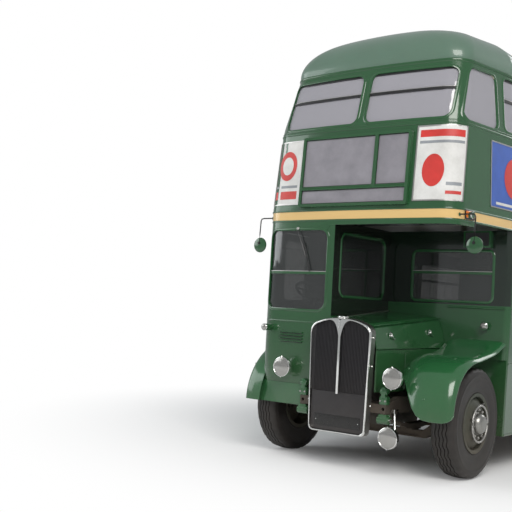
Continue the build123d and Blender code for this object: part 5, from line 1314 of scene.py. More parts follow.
shell = Builder()
rows = [radiator_loop(inset, y) for inset, y in RIM_STEPS]
count = len(rows[0])
shell.add(rows[:2], grid_faces(2, count, wrap_columns=True), 1)
shell.add(rows[1:], grid_faces(len(rows) - 1, count, wrap_columns=True))
shell.add([rows[0], radiator_loop(0.012, -3.8580)], grid_faces(2, count, wrap_columns=True), 1)
shell.add(radiator_loop(0.015, PLATE_Y), [tuple(range(count))], 2)
half_crown = sorted((x, z) for x, _, z in radiator_loop(0.0150, PLATE_Y) if x >= -1e-9 and z > 1.30)
crown_x, crown_z = zip(*half_crown)
for side in (1, -1):
    share = np.linspace(0.0, 1.0, 24)
    xs = 0.011 + 0.119 * share
    tops = np.interp(xs, crown_x, crown_z)
    lows = tops + 0.001 - 0.165 * np.exp(-3.4 * share) * (1 - share) ** 0.4
    foot = np.minimum(tops, lows)
    drooping = []
    for forward_by, heights in (
        (-0.0010, tops + 0.001), (0.0035, tops), (0.0035, np.minimum(tops, lows + 0.002)), (-0.0010, foot),
        (-0.0300, foot),
    ):
        drooping.append(np.column_stack([side * xs, np.full(len(xs), SHELL_Y - forward_by), heights]))
    shell.add(drooping, grid_faces(len(drooping), len(xs)))
    for i in range(SLATS):
        x = side * (0.026 + 0.0158 * i)
        top = float(np.interp(abs(x), crown_x, crown_z)) - 0.004
        tube(shell, [(x, SLAT_Y, SLAT_FOOT_Z), (x, SLAT_Y, top)], 0.0036, 6, look=2)
block(shell, (-0.0115, SHELL_Y - 0.0048, 0.700), (0.0115, SHELL_Y + 0.0250, 1.386))
block(shell, (-0.294, -3.9262, 0.3560), (0.294, -3.9140, 0.7120), 2)
block(shell, (-0.250, -3.9300, 0.3900), (0.250, -3.9262, 0.4980), 3, 0.0012)
for x in (-0.23, 0.23):
    lathe(shell, ((0.0, 0.005), (0.002, 0.0045), (0.003, 0.0)), (x, -3.9298, 0.444), FORWARDS, 12)
case = shell.make("radiator_case", ROOT, bright, dull_metal, black_paint_and_shade, moulded_black)
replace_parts(case, "radiator_shell", "radiator_core")

# %% [markdown]
# ## Filler cap and louvres
#
# The filler cap is turned, with grips round its edge, and the shell is held by small nuts down each side.
# Beside the radiator the cab's front has four louvres, each a flattened tube with a dark line of painted
# shade under it.

# %% Filler cap and louvres
CAP_PROFILE = (
    (0.0, 0.046), (0.010, 0.048), (0.018, 0.046), (0.022, 0.036), (0.026, 0.030), (0.029, 0.014), (0.030, 0.0)
)
CAP_Y, CAP_R, CAP_GRIPS = -3.900, 0.047, 12
front = Builder()
lathe(front, CAP_PROFILE, (0.0, CAP_Y, 1.4035), (0, 0, 1))
for a in full_turn(CAP_GRIPS):
    x, y = CAP_R * math.cos(a), CAP_Y + CAP_R * math.sin(a)
    block(front, (x - 0.003, y - 0.003, 1.406), (x + 0.003, y + 0.003, 1.420), 0, 0.001)
for side in (1, -1):
    for z in (0.62, 0.98, 1.24):
        nut(front, side * 0.3335, -3.905, z, side, 0.007, 0.004)
for z in 1.150 + 0.029 * np.arange(4):
    louvre = [(x, front_y(CAB, x, z, 0.005), z) for x in np.linspace(-0.785, -0.500, 10)]
    tube(front, louvre, 0.0105, look=3, squash=(0.9, 0.75))
    # A dark line of painted shade under each louvre.
    shade_line = [(x, front_y(CAB, x, z, 0.0015), z - 0.010) for x in np.linspace(-0.782, -0.503, 10)]
    tube(front, shade_line, 0.0035, 6, look=1, squash=(0.3, 0.8))
front.make("radiator_trim", ROOT, bright, black_paint_and_shade, moulded_black, paint_plain)

# %% [markdown]
# ## Bonnet
#
# The lid lifts for the engine, so its catches, beads and hinge strip ride the lid. Its face is flat from the
# fold to the foot, so a place on it is a mix of those two lines. The fixed side below has two upright beads
# and rows of rivets.

# %% Bonnet
BONNET_FRONT_Y, BONNET_LENGTH = -3.851, 1.105
SIDE_SPREAD = 0.148
RIVET = ((-0.002, 0.0055), (0.001, 0.0050), (0.0025, 0.003), (0.003, 0.0))


def on_lid(t, share, out):
    """A point on the lid's nearside face: t is its share of the length, share runs from fold to foot."""
    fold_x, fold_z = 0.305 + 0.120 * t, 1.352 + 0.100 * t
    foot_x, foot_z = 0.352 + SIDE_SPREAD * t, 1.134 + 0.024 * t
    x = fold_x + (foot_x - fold_x) * share + out
    return (x, BONNET_FRONT_Y + BONNET_LENGTH * t, fold_z + (foot_z - fold_z) * share + out * 0.2)


def bonnet_side_x(y, start):
    """How far out the bonnet's side lies; it spreads towards the bulkhead."""
    return start + SIDE_SPREAD * (y - BONNET_FRONT_Y) / BONNET_LENGTH


bonnet = Builder()
for t in (0.20, 0.78):
    x, y, z = on_lid(t, 0.46, 0.001)
    block(bonnet, (x, y - 0.020, z - 0.022), (x + 0.006, y + 0.020, z + 0.022))
    handle = [
        (x + 0.004, y - 0.004, z + 0.030), (x + 0.020, y - 0.004, z + 0.020),
        (x + 0.024, y + 0.004, z - 0.006), (x + 0.020, y + 0.030, z - 0.026),
        (x + 0.024, y + 0.052, z - 0.030),
    ]
    tube(bonnet, handle, 0.006)
    lathe(bonnet, ((0.0, 0.012), (0.018, 0.012), (0.024, 0.008), (0.026, 0.0)), (x, y, z), (1, 0, 0), 16)
for share, out in ((0.0, 0.002), (0.985, 0.001)):
    tube(bonnet, [on_lid(t, share, out) for t in np.linspace(0.004, 0.996, 24)], 0.005, look=1)
tube(bonnet, [(-0.168, -3.846, 1.3955), (-0.168, -3.3, 1.448), (-0.168, -2.752, 1.5035)], 0.006, look=2)
bonnet.make("bonnet_fittings", "bonnet_lid", bright, paint_plain, dull_metal)

bonnet_side = Builder()
for y in (-3.42, -3.02):
    tube(bonnet_side, [(bonnet_side_x(y, 0.3560), y, z) for z in np.linspace(0.76, 1.11, 8)], 0.0035, 6)
for y in -3.80 + 0.064 * np.arange(16):
    for z in (0.775, 1.105):
        lathe(bonnet_side, RIVET, (bonnet_side_x(y, 0.3520), y, z), (1, 0, 0), 10)
bonnet_side.make("bonnet_side_rivets", ROOT, paint_plain)

# %% [markdown]
# ## The nearside wing
#
# This wing is one beaten sheet that sweeps from the bulkhead over the wheel and down in front of it. It
# could be sculpted, but a beater works to a side profile and to a few cross lines, and so does this: the
# profile is a smooth curve through measured points, and for each distance across, the tables say how far
# the skin drops, how far its front moves back, and where it ends. A second skin inside it and a rolled lip
# give it its thickness.

# %% The nearside wing
PROFILE = np.array([
    (-2.748, 1.262), (-2.850, 1.226), (-2.959, 1.190), (-3.140, 1.158), (-3.328, 1.133), (-3.450, 1.122),
    (-3.561, 1.096), (-3.650, 1.061), (-3.715, 1.018), (-3.782, 0.960), (-3.832, 0.886), (-3.865, 0.815),
    (-3.886, 0.740), (-3.903, 0.640), (-3.912, 0.546),
])
ACROSS = np.array([
    (0.345, 0.100, 0.300, 0.900), (0.42, 0.075, 0.235, 0.900), (0.50, 0.044, 0.165, 0.895),
    (0.56, 0.026, 0.115, 0.885), (0.61, 0.013, 0.077, 0.860), (0.66, 0.005, 0.046, 0.800),
    (0.70, 0.001, 0.026, 0.735), (0.75, 0.0, 0.010, 0.650), (0.80, 0.0, 0.003, 0.590),
    (0.86, 0.0, 0.0, 0.558), (0.93, 0.001, 0.001, 0.550), (1.00, 0.004, 0.004, 0.550),
    (1.05, 0.012, 0.010, 0.553), (1.085, 0.024, 0.020, 0.562), (1.105, 0.036, 0.030, 0.575),
    (1.118, 0.050, 0.043, 0.592), (1.1245, 0.068, 0.058, 0.615),
])
WING_IN_X, WING_OUT_X = ACROSS[0, 0], ACROSS[-1, 0]
WING_STEPS, INNER_SHARE, SKIN = 48, 0.35, 0.009


def smooth_path(points, count):
    """Points along a smooth curve through the given ones: a cubic between each two, by Hermite's formula."""
    step = np.concatenate([[0], np.cumsum(np.linalg.norm(np.diff(points, axis=0), axis=1))])
    slope = np.gradient(points, step, axis=0)
    t = np.linspace(0, step[-1], count)
    k = np.minimum(np.searchsorted(step, t, side="right") - 1, len(points) - 2)
    h = (step[k + 1] - step[k])[:, None]
    u = (t - step[k])[:, None] / h
    a, b = 2 * u**3 - 3 * u**2 + 1, u**3 - 2 * u**2 + u
    c, d = -2 * u**3 + 3 * u**2, u**3 - u**2
    return a * points[k] + b * h * slope[k] + c * points[k + 1] + d * h * slope[k + 1]


SPINE = smooth_path(PROFILE, 60)


def wing_skin(inset):
    """Rows of the wing's skin, from its inner edge to its outer edge, that far inside its surface."""
    rows = []
    ahead = np.clip((SPINE[:, 0] - PROFILE[0, 0]) / (PROFILE[-1, 0] - PROFILE[0, 0]), 0, 1)
    for x, drop, back, foot in ACROSS:
        y = SPINE[:, 0] + back * ahead + inset * ahead
        z = SPINE[:, 1] - drop * (1 - 0.6 * (1 - ahead)) - inset * (1 - ahead * 0.9)
        keep = z >= foot
        y, z = np.append(y[keep], np.interp(-foot, -z, y)), np.append(z[keep], foot)
        path = smooth_path(np.column_stack([y, z]), WING_STEPS)
        share = (x - WING_IN_X) / (WING_OUT_X - WING_IN_X)
        outer = x - inset * 0.8 * share
        if share <= INNER_SHARE:
            panel_x = np.maximum(bonnet_side_x(path[:, 0], 0.359), 0.359)
            straight = panel_x * (1 - share) + (WING_OUT_X - inset * 0.8) * share
            outer = straight * (1 - share / INNER_SHARE) + x * share / INNER_SHARE
        rows.append(np.column_stack([np.full(WING_STEPS, outer) if share > INNER_SHARE else outer, path]))
    return np.array(rows)


wings = Builder()
skin, lining = wing_skin(0.0), wing_skin(SKIN)
wings.add(skin, grid_faces(len(ACROSS), WING_STEPS))
wings.add(lining, grid_faces(len(ACROSS), WING_STEPS))
for edge in (np.s_[0, :], np.s_[-1, :], np.s_[:, 0], np.s_[:, -1]):
    wings.add([skin[edge], lining[edge]], grid_faces(2, len(skin[edge])))
tube(wings, lining[-1] - (0.001, 0, 0), 0.0065)
tube(wings, skin[:, -1] + (0, 0.004, 0.002), 0.006)
WING_BOLT = ((-0.006, 0.011), (0.001, 0.010), (0.004, 0.006), (0.005, 0.0))
for x, y, z in ((0.62, -3.735, 0.985), (0.86, -3.888, 0.74), (0.98, -3.55, 1.096)):
    lathe(wings, WING_BOLT, (x, y, z), (0, -0.8, 0.6), 12)

# %% [markdown]
# ## The offside wing
#
# On the cab's side the wing is only an arch round the wheel, with an apron that closes the front below the
# cab's nose. The arch is a rolled section turned half way round the axle. The apron follows the nose's
# outline, but never comes nearer to the tyre than the arch does.

# %% The offside wing
ARCH_SECTION = (
    (-0.972, 0.602), (-1.060, 0.602), (-1.120, 0.600), (-1.145, 0.594), (-1.156, 0.583), (-1.160, 0.570),
    (-1.156, 0.561), (-1.120, 0.561), (-0.972, 0.561),
)
ARCH_STEPS, APRON_STEPS, TYRE_CLEAR_R = 56, 30, 0.563
APRON_SECTION = (
    (0.738, -0.001), (0.660, 0.0), (0.560, 0.0), (0.540, -0.004), (0.534, -0.010), (0.545, -0.014),
    (0.738, -0.013),
)
RIVET_FLAT = ((-0.003, 0.007), (0.001, 0.0065), (0.003, 0.004), (0.0036, 0.0))


def over_wheel(x, r, a):
    """A point on a circle about the front axle, with the angle from the front over the top."""
    return (x, FRONT_AXLE_Y - r * math.cos(a), AXLE_Z + r * math.sin(a))


arch_angles = np.radians(np.linspace(2.5, 177.5, ARCH_STEPS))
arch_rows = [[over_wheel(x, r, a) for a in arch_angles] for x, r in ARCH_SECTION]
wings.add(arch_rows, grid_faces(len(arch_rows), ARCH_STEPS))
for end in (0, -1):
    wings.add([row[end] for row in arch_rows], [tuple(range(len(arch_rows)))])
apron = []
for z, out in APRON_SECTION:
    limit = FRONT_AXLE_Y - math.sqrt(TYRE_CLEAR_R**2 - (z - AXLE_Z) ** 2)
    xs = np.linspace(-0.478, -1.000, APRON_STEPS)
    apron.append([(x, min(front_y(CAB, x, CAB[0, 0], out), limit), z) for x in xs])
wings.add(apron, grid_faces(len(apron), APRON_STEPS))
for k in range(6):
    lathe(wings, RIVET_FLAT, over_wheel(-1.159, 0.583, math.radians(40 + 20 * k)), (-1, 0, 0), 10, 1)
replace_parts(wings.make("wings", ROOT, paint_wing, dull_metal), "front_wings")

# %% [markdown]
# ## Spring hangers and canopy rail
#
# Either side of the radiator the front ends of the springs hang from painted castings: softened blocks with
# turned bosses, pins and nuts. Above, a rail hangs under the band where the upper deck reaches out over the
# bonnet, rounded down at the cab.

# %% Spring hangers and canopy rail
HANGER_X = 0.442
HANGER_BLOCKS = (
    (0.040, -3.862, -3.800, 0.640, 0.720, 0.016), (0.024, -3.868, -3.820, 0.700, 0.800, 0.018),
    (0.044, -3.864, -3.790, 0.480, 0.556, 0.018),
)
HANGER_TURNED = (
    (((-0.060, 0.034), (-0.056, 0.038), (0.056, 0.038), (0.060, 0.034), (0.062, 0.0)), -3.832, 0.500, 24, 0),
    (((0.060, 0.016), (0.072, 0.016), (0.074, 0.0)), -3.832, 0.500, 6, 1),
    (((-0.036, 0.026), (-0.030, 0.030), (0.030, 0.030), (0.036, 0.026), (0.037, 0.0)), -3.842, 0.760, 24, 0),
)
hangers = Builder()
for side in (1, -1):
    x = side * HANGER_X
    for half, y0, y1, z0, z1, bevel in HANGER_BLOCKS:
        block(hangers, (x - half, y0, z0), (x + half, y1, z1), 0, bevel)
    for profile, y, z, turns, look in HANGER_TURNED:
        lathe(hangers, profile, (x, y, z), (side, 0, 0), turns, look)
    for shift in (-0.026, 0.026):
        nut_profile = ((0.0, 0.009), (0.008, 0.009), (0.009, 0.0))
        lathe(hangers, nut_profile, (x + shift, -3.862, 0.676), FORWARDS, 6, 1)
hangers.make("spring_hangers", ROOT, paint_wing, dull_metal)

RAIL_TOP_Z, RAIL_DROP, RAIL_CORNER, RAIL_START = 2.336, 0.042, 0.060, -0.268
rail_x = np.linspace(RAIL_START, 1.075, 60)
near = np.maximum(0.0, 1 - (rail_x - RAIL_START) / RAIL_CORNER)
rail_low = RAIL_TOP_Z - RAIL_DROP - RAIL_CORNER * (1 - np.sqrt(np.maximum(0.0, 1 - near * near)))
rail_high = np.full(len(rail_x), RAIL_TOP_Z)
rail_rows = []
for out, heights in (
    (-0.020, rail_high), (0.004, rail_high), (0.004, rail_low + 0.003), (0.001, rail_low), (-0.020, rail_low)
):
    rail_rows.append([(x, front_y(UPPER, x, RAIL_TOP_Z, out), z) for x, z in zip(rail_x, heights)])
valance = Builder()
valance.add(rail_rows, grid_faces(len(rail_rows), len(rail_x)))
valance.make("canopy_rail", ROOT, paint_plain)

# %% [markdown]
# ## Handles and wiper
#
# The cab door has a plated grab handle on two roses and the emergency door a flat one. Both are bent rods,
# so they are tubes along a few points, and they ride their doors. The wiper hangs from its motor above the
# windscreen.

# %% Handles and wiper
HANDLE_Y, EXIT_HANDLE_Z = -3.445, 3.135
GRIP = ((1.400, 0.002), (1.402, 0.028), (1.360, 0.034), (1.300, 0.034), (1.262, 0.028), (1.260, 0.002))
EXIT_GRIP = ((-0.10, 0.002), (-0.095, 0.018), (0.095, 0.018), (0.10, 0.002))
ROSE = ((0.0, 0.016), (0.003, 0.015), (0.005, 0.009), (0.0055, 0.0))
WIPER_ARM = ((-0.62, 2.262, 0.004), (-0.60, 2.20, 0.016), (-0.50, 1.98, 0.012))


def on_cab_side(y, z, out):
    """A point on the cab's outer side."""
    return (-side_x(CAB, y, z, out), y, z)


cab_handle = Builder()
tube(cab_handle, [on_cab_side(HANDLE_Y, z, out) for z, out in GRIP], 0.007)
for z in (1.401, 1.261):
    lathe(cab_handle, ROSE, on_cab_side(HANDLE_Y, z, 0.0), (-1, 0, 0), 20)
cab_handle.make("cab_door_handle", "cab_door", bright)
exit_handle = Builder()
exit_path = [(x, rear_y(UPPER, x, EXIT_HANDLE_Z, out), EXIT_HANDLE_Z) for x, out in EXIT_GRIP]
tube(exit_handle, exit_path, 0.006)
exit_handle.make("emergency_handle", "emergency_door", bright)

wiper = Builder()
tube(wiper, [(x, front_y(CAB, x, z, out), z) for x, z, out in WIPER_ARM], 0.0045)
blade = [(x, front_y(CAB, x, z, 0.004), z) for x, z in np.linspace((-0.545, 2.12), (-0.455, 1.84), 8)]
tube(wiper, blade, 0.006, squash=(0.7, 1.0))
motor = ((0.0, 0.016), (0.012, 0.015), (0.018, 0.010), (0.020, 0.0))
lathe(wiper, motor, (-0.62, front_y(CAB, -0.62, 2.262), 2.262), FORWARDS, 20, 1)
wiper.make("wiper", ROOT, moulded_black, dull_metal)

# %% [markdown]
# ## Mirrors
#
# Round mirrors hang on bent arms from the corners of the upper deck. Each head is a shallow turned bowl in
# the body's green with its glass facing the driver.

# %% Mirrors
MIRROR_X, MIRROR_Y, MIRROR_Z = 1.187, -3.7000, 2.110
ARM_Y, ARM_Z = -3.6995, 2.386
MIRROR_BOWL = (
    (-0.0165, 0.0), (-0.0160, 0.030), (-0.0120, 0.058), (-0.0040, 0.0745), (0.0040, 0.0780), (0.0095, 0.0765),
    (0.0095, 0.0700),
)
MIRROR_GLASS = ((0.0092, 0.0702), (0.0094, 0.0690), (0.0096, 0.0))
ARM_BEND = (
    (1.150, -3.7000, 2.3860), (1.178, -3.7010, 2.3800), (1.187, -3.7020, 2.3600), (1.187, -3.7100, 2.2300),
    (1.187, -3.7150, 2.1300),
)
mirrors = Builder()
arm_foot = side_x(UPPER, ARM_Y, ARM_Z)
for side in (1, -1):
    head = (side * MIRROR_X, MIRROR_Y, MIRROR_Z)
    lathe(mirrors, MIRROR_BOWL, head, BACKWARDS, 48)
    lathe(mirrors, MIRROR_GLASS, head, BACKWARDS, 48, 1)
    arm = [(side * (arm_foot - 0.004), ARM_Y, ARM_Z)] + [(side * x, y, z) for x, y, z in ARM_BEND]
    tube(mirrors, arm, 0.0065, 10, look=2)
    clamp = ((-0.012, 0.0), (-0.011, 0.013), (0.000, 0.014), (0.003, 0.0))
    lathe(mirrors, clamp, (side * MIRROR_X, -3.7150, 2.130), BACKWARDS, 20, 2)
    rose = ((0.0, 0.016), (0.006, 0.015), (0.009, 0.008))
    lathe(mirrors, rose, (side * arm_foot, ARM_Y, ARM_Z), (side, 0, 0), 24)
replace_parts(mirrors.make("mirror_heads", ROOT, paint_plain, bright, moulded_black), "mirrors")

# %% [markdown]
# ## Rear plate
#
# The rear wall carries a blank black plate with two screws, over a bead at the panel's foot.

# %% Rear plate
plates = Builder()
block(plates, (-0.255, 3.9630, 0.62), (0.255, 3.9660, 0.735), 0, 0.001)
for x in (-0.22, 0.22):
    lathe(plates, ((0.0, 0.006), (0.002, 0.005), (0.0025, 0.0)), (x, 3.966, 0.677), BACKWARDS, 10, 1)
tube(plates, [(x, 3.9625, 0.615) for x in np.linspace(-0.80, 0.80, 9)], 0.006, look=2, squash=(0.6, 1.0))
plates.make("plates", ROOT, moulded_black, dull_metal, paint_plain)

# %% [markdown]
# ## Seat pads
#
# A sprung seat is a cloth cover stretched over its filling, so its faces crown and its edges pull in. That
# is hard to model by hand and easy to simulate: a flat box is given an even mesh, and air pressure blows it
# up as cloth for twenty frames. One double squab and one back are made like this, and the squab gets its
# sewn channel.

# %% Seat pads
PRESSURE, CLOTH_FRAMES = 4.0, 20
SEAT_WIDE = 0.826


def pad_mesh(across, deep, high):
    """A flat box with rounded edges, centred on its foot."""
    work = bmesh.new()
    bmesh.ops.create_cube(work, size=1.0)
    for vertex in work.verts:
        vertex.co = (vertex.co.x * (across - 0.02), vertex.co.y * (deep - 0.02), (vertex.co.z + 0.5) * high)
    edges = list(work.edges)
    bmesh.ops.bevel(work, geom=edges, offset=min(high, deep) * 0.22, segments=3, profile=0.6, affect="EDGES")
    mesh = bpy.data.meshes.new("pad")
    work.to_mesh(mesh)
    work.free()
    return mesh


def read_points(mesh):
    """A mesh's points as an array."""
    flat = np.empty(len(mesh.vertices) * 3)
    mesh.vertices.foreach_get("co", flat)
    return flat.reshape(-1, 3)


def blow_up(mesh, voxel, cap):
    """Remeshes a pad, inflates it as cloth and caps how far any point moved; returns points and faces."""
    obj = bpy.data.objects.new("pad_form", mesh)
    bpy.context.scene.collection.objects.link(obj)
    remesh = obj.modifiers.new("remesh", "REMESH")
    remesh.mode = "VOXEL"
    remesh.voxel_size = voxel
    graph = bpy.context.evaluated_depsgraph_get()
    shape = bpy.data.meshes.new_from_object(obj.evaluated_get(graph))
    bpy.data.objects.remove(obj)
    points = read_points(shape)
    pad = bpy.data.objects.new("pad_cloth", shape)
    bpy.context.scene.collection.objects.link(pad)
    cloth = pad.modifiers.new("cloth", "CLOTH")
    cloth.settings.use_pressure = True
    cloth.settings.uniform_pressure_force = PRESSURE
    cloth.settings.effector_weights.gravity = 0.0
    cloth.settings.quality = 5
    for number in range(1, CLOTH_FRAMES + 1):
        bpy.context.scene.frame_set(number)
    graph = bpy.context.evaluated_depsgraph_get()
    shift = read_points(pad.evaluated_get(graph).to_mesh()) - points
    reach = np.linalg.norm(shift, axis=1)[:, None]
    points = points + shift * np.minimum(1.0, cap / np.maximum(reach, 1e-9))
    bpy.data.objects.remove(pad)
    bpy.context.scene.frame_set(1)
    print(f"a pad of {len(points)} points grew by up to {1000 * min(cap, reach.max()):.0f} mm")
    return points, [tuple(polygon.vertices) for polygon in shape.polygons]


def channelled(points, across, pitch, depth):
    """Sinks sewn channels into the top of a pad, running fore and aft."""
    x = points[:, 0] / across + 0.5
    upper = np.clip((points[:, 2] - np.median(points[:, 2])) / 0.03, 0, 1)
    wave = np.exp(-(((points[:, 0] + 5 * pitch) % pitch - pitch / 2) / 0.008) ** 2)
    inner = np.clip(np.minimum(x, 1 - x) * 12, 0, 1)
    sunk = points.copy()
    sunk[:, 2] -= depth * wave * upper * inner
    return sunk


squab_points, squab_faces = blow_up(pad_mesh(SEAT_WIDE, 0.344, 0.098), 0.021, 0.010)
back_points, back_faces = blow_up(pad_mesh(SEAT_WIDE, 0.560, 0.050), 0.024, 0.007)
squab_points = channelled(squab_points, SEAT_WIDE, SEAT_WIDE / 2, 0.010)

# %% [markdown]
# ## Seats
#
# The pads are copied to every double seat on both decks, with the back leaning, and to the benches over the
# rear wheels, which face inwards. Each double seat has a tubular frame, a grab rail over its back, and two
# pairs of legs with round feet.

# %% Seats
UPPER_DECK_Z, LOWER_DECK_Z, BENCH_FOOT_Z = 2.495, 0.630, 1.110
RAKE = math.atan2(0.070, 0.520)
FLANGE = ((0.0, 0.026), (0.004, 0.025), (0.006, 0.012))
LOWER_ROWS_Y = (-2.180, -1.440, -0.700, 0.040, 0.780)
SEAT_ROWS = [(side, 0.225, 1.065, y, LOWER_DECK_Z) for side in (1, -1) for y in LOWER_ROWS_Y]
for side, count in ((1, 9), (-1, 6)):
    for i in range(count):
        outer = 1.030 if i else 0.960
        SEAT_ROWS.append((side, outer - 0.820, outer, -3.130 + 0.740 * i, UPPER_DECK_Z))

squabs, backs, frames = Builder(), Builder(), Builder()


def seat_rail(x0, x1, y_foot, y_top, top):
    """The frame's tube: up one side of the back, over it as the grab rail, and down the other."""
    corner = ((x0, y_foot, top - 0.080), (x0, y_top, top + 0.500))
    bend = ((x0 + 0.02, y_top + 0.008, top + 0.528), (x0 + 0.06, y_top + 0.008, top + 0.538))
    half = corner + bend
    return [*half, *((x0 + x1 - x, y, z) for x, y, z in half[::-1])]


for side, inner, outer, y, deck in SEAT_ROWS:
    middle, scale, top = side * (inner + outer) / 2, (outer - inner) / 0.84, deck + 0.430
    squabs.add(squab_points * (scale, 1.0, 1.0) + (middle, y - 0.036, top - 0.102), squab_faces)
    flat = back_points * (scale, 1.0, 1.0)
    lift, out = flat[:, 1] + 0.290, flat[:, 2]
    y_back = y + 0.172 - out + lift * math.sin(RAKE)
    z_back = top - 0.030 + lift * math.cos(RAKE) * 0.985
    backs.add(np.column_stack([flat[:, 0] + middle, y_back, z_back]), back_faces)
    x0, x1, y_foot = middle - scale * 0.405, middle + scale * 0.405, y + 0.208
    tube(frames, seat_rail(x0, x1, y_foot, y + 0.264, top), 0.0095)
    for x in (x0, x1):
        bearer = [(x, y - 0.19, top - 0.118), (x, y_foot, top - 0.118), (x, y_foot, top - 0.080)]
        tube(frames, bearer, 0.009, look=1)
    for x in (side * (inner + 0.110), side * (outer - 0.042)):
        for dy in (-0.13, 0.12):
            tube(frames, [(x, y + dy, top - 0.112), (x, y + dy * 0.85, deck + 0.012)], 0.011, look=1)
            lathe(frames, FLANGE, (x, y + dy * 0.85, deck + 0.0005), (0, 0, 1), 16, 1)
        tube(frames, [(x, y - 0.12, deck + 0.12), (x, y + 0.11, deck + 0.12)], 0.008, look=1)
for side in (1, -1):
    for y in 1.1235 + 0.4207 * (np.arange(3) + 0.5):
        bench = squab_points * (0.500, 1.92, 1.0)
        bench = np.column_stack([-bench[:, 1], bench[:, 0], bench[:, 2]])
        squabs.add(bench + (side * 0.700, y, BENCH_FOOT_Z + 0.001), squab_faces)
        flat = back_points * (0.500, 0.62, 0.9)
        upright = [side * (1.072 - flat[:, 2]), flat[:, 0] + y, flat[:, 1] + BENCH_FOOT_Z + 0.285]
        backs.add(np.column_stack(upright), back_faces)
squab_piece = squabs.make("seat_squabs", ROOT, seat_cloth, slot="seat_cloth")
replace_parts(squab_piece, "passenger_seats")
back_piece = backs.make("seat_backs", ROOT, seat_cloth, slot="seat_cloth")
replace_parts(back_piece, "passenger_seats")
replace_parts(frames.make("seat_frames", ROOT, bright, chassis_paint), "passenger_seats")

# %% [markdown]
# ## The driver's seat
#
# The driver's squab and back are brown hide, blown up in the same way, on a plain box stand with a plate and
# two uprights.

# %% The driver's seat
DRIVER_X = -0.650
driver = Builder()
points, faces = blow_up(pad_mesh(0.440, 0.390, 0.092), 0.012, 0.010)
driver.add(points + (DRIVER_X, -2.990, 1.368), faces)
points, faces = blow_up(pad_mesh(0.420, 0.470, 0.066), 0.012, 0.008)
driver.add(np.column_stack([points[:, 0] + DRIVER_X, -points[:, 2] - 2.772, points[:, 1] + 1.690]), faces)
driver_piece = driver.make("driver_pads", ROOT, brown_hide, slot="seat_hide")
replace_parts(driver_piece, "driver_seat")
stand = Builder()
block(stand, (-0.770, -3.100, 1.066), (-0.530, -2.860, 1.365), 0, 0.012)
block(stand, (-0.860, -3.180, 1.352), (-0.440, -2.800, 1.367), 0, 0.004)
for x in (-0.84, -0.46):
    tube(stand, [(x, -2.80, 1.360), (x, -2.776, 1.42), (x, -2.771, 1.88)], 0.008)
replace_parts(stand.make("driver_seat_stand", ROOT, chassis_paint), "driver_seat")

# %% [markdown]
# ## Floor and world
#
# A pale floor takes the bus's shadow and fades to white with distance, for the camera only, so that no
# horizon shows. The world is white to the camera and through glass, and a softer light to all else.

# %% Floor and world
FLOOR_HALF = 40
FADE_START, FADE_END = 2.6, 6.5
WORLD_LIGHT = 0.45


def blend_into(tree, output, factor, first, second):
    """Mixes two shaders into a new output node."""
    mixed = put(tree, "ShaderNodeMixShader", i0=factor, i1=first.outputs[0], i2=second.outputs[0])
    put(tree, output, Surface=mixed.outputs[0])


floor_mesh = bpy.data.meshes.new("floor")
corners = [(x * FLOOR_HALF, y * FLOOR_HALF, 0) for x, y in ((-1, -1), (1, -1), (1, 1), (-1, 1))]
floor_mesh.from_pydata(corners, [], [(0, 1, 2, 3)])
floor = bpy.data.objects.new("floor", floor_mesh)
bpy.context.scene.collection.objects.link(floor)

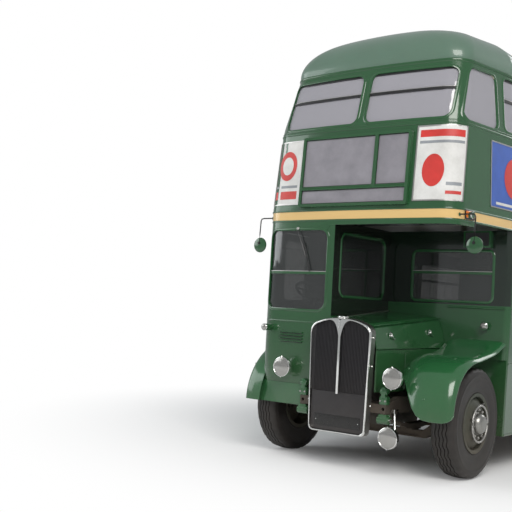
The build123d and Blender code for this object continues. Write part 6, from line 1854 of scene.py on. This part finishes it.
floor_look = bpy.data.materials.new("studio_floor")
floor_look.use_nodes = True
tree = floor_look.node_tree
tree.nodes.clear()
paper = put(tree, "ShaderNodeBsdfDiffuse", Color=(0.94, 0.94, 0.94))
white = put(tree, "ShaderNodeEmission", Color=(1.0, 1.0, 1.0))
reach = put(tree, "ShaderNodeVectorMath", i0=put(tree, "ShaderNodeNewGeometry").outputs["Position"])
reach.operation = "LENGTH"
fade = put(tree, "ShaderNodeMapRange", Value=reach.outputs["Value"], From_Min=FADE_START, From_Max=FADE_END)
fade.interpolation_type = "SMOOTHSTEP"
seen = put(tree, "ShaderNodeLightPath").outputs["Is Camera Ray"]
seen = math_node(tree, "MULTIPLY", seen, fade.outputs["Result"])
blend_into(tree, "ShaderNodeOutputMaterial", seen, paper, white)
floor_mesh.materials.append(floor_look)

world = bpy.data.worlds.new("studio")
bpy.context.scene.world = world
world.use_nodes = True
tree = world.node_tree
tree.nodes.clear()
soft = put(tree, "ShaderNodeBackground", Color=(0.95, 0.98, 1.0), Strength=WORLD_LIGHT)
backdrop = put(tree, "ShaderNodeBackground", Color=(1.0, 1.0, 1.0), Strength=1.0)
rays = put(tree, "ShaderNodeLightPath").outputs
seen = math_node(tree, "MAXIMUM", rays["Is Camera Ray"], rays["Is Transmission Ray"])
blend_into(tree, "ShaderNodeOutputWorld", seen, soft, backdrop)

# %% [markdown]
# ## Lights
#
# Three large area lights shape the body: a warm key from the front nearside, a cool fill from the offside
# and a light behind that draws the roof's edge.


# %% Lights
def lamp(name, at, toward, width, height, power, colour=(1, 1, 1)):
    """A rectangular soft light aimed at a point."""
    data = bpy.data.lights.new(name, "AREA")
    data.shape = "RECTANGLE"
    data.size, data.size_y = width, height
    data.energy = power
    data.color = colour
    obj = bpy.data.objects.new(name, data)
    aim = np.array(toward, dtype=float) - np.array(at, dtype=float)
    aim /= np.linalg.norm(aim)
    across = np.cross(aim, (0, 0, 1))
    across /= np.linalg.norm(across)
    obj.matrix_world = placed_at(across, np.cross(across, aim), -aim, at)
    bpy.context.scene.collection.objects.link(obj)
    print(f"{name} light: {power:.0f} W")


lamp("key", (9.0, -12.0, 11.0), (0, -1.0, 2.0), 9.0, 7.0, 1500.0, (1.0, 0.98, 0.95))
lamp("fill", (-12.0, -9.0, 6.0), (0, -1.0, 2.0), 9.0, 7.0, 500.0, (0.95, 0.98, 1.0))
lamp("back", (3.0, 13.0, 9.0), (0, 1.0, 2.0), 10.0, 6.0, 500.0)
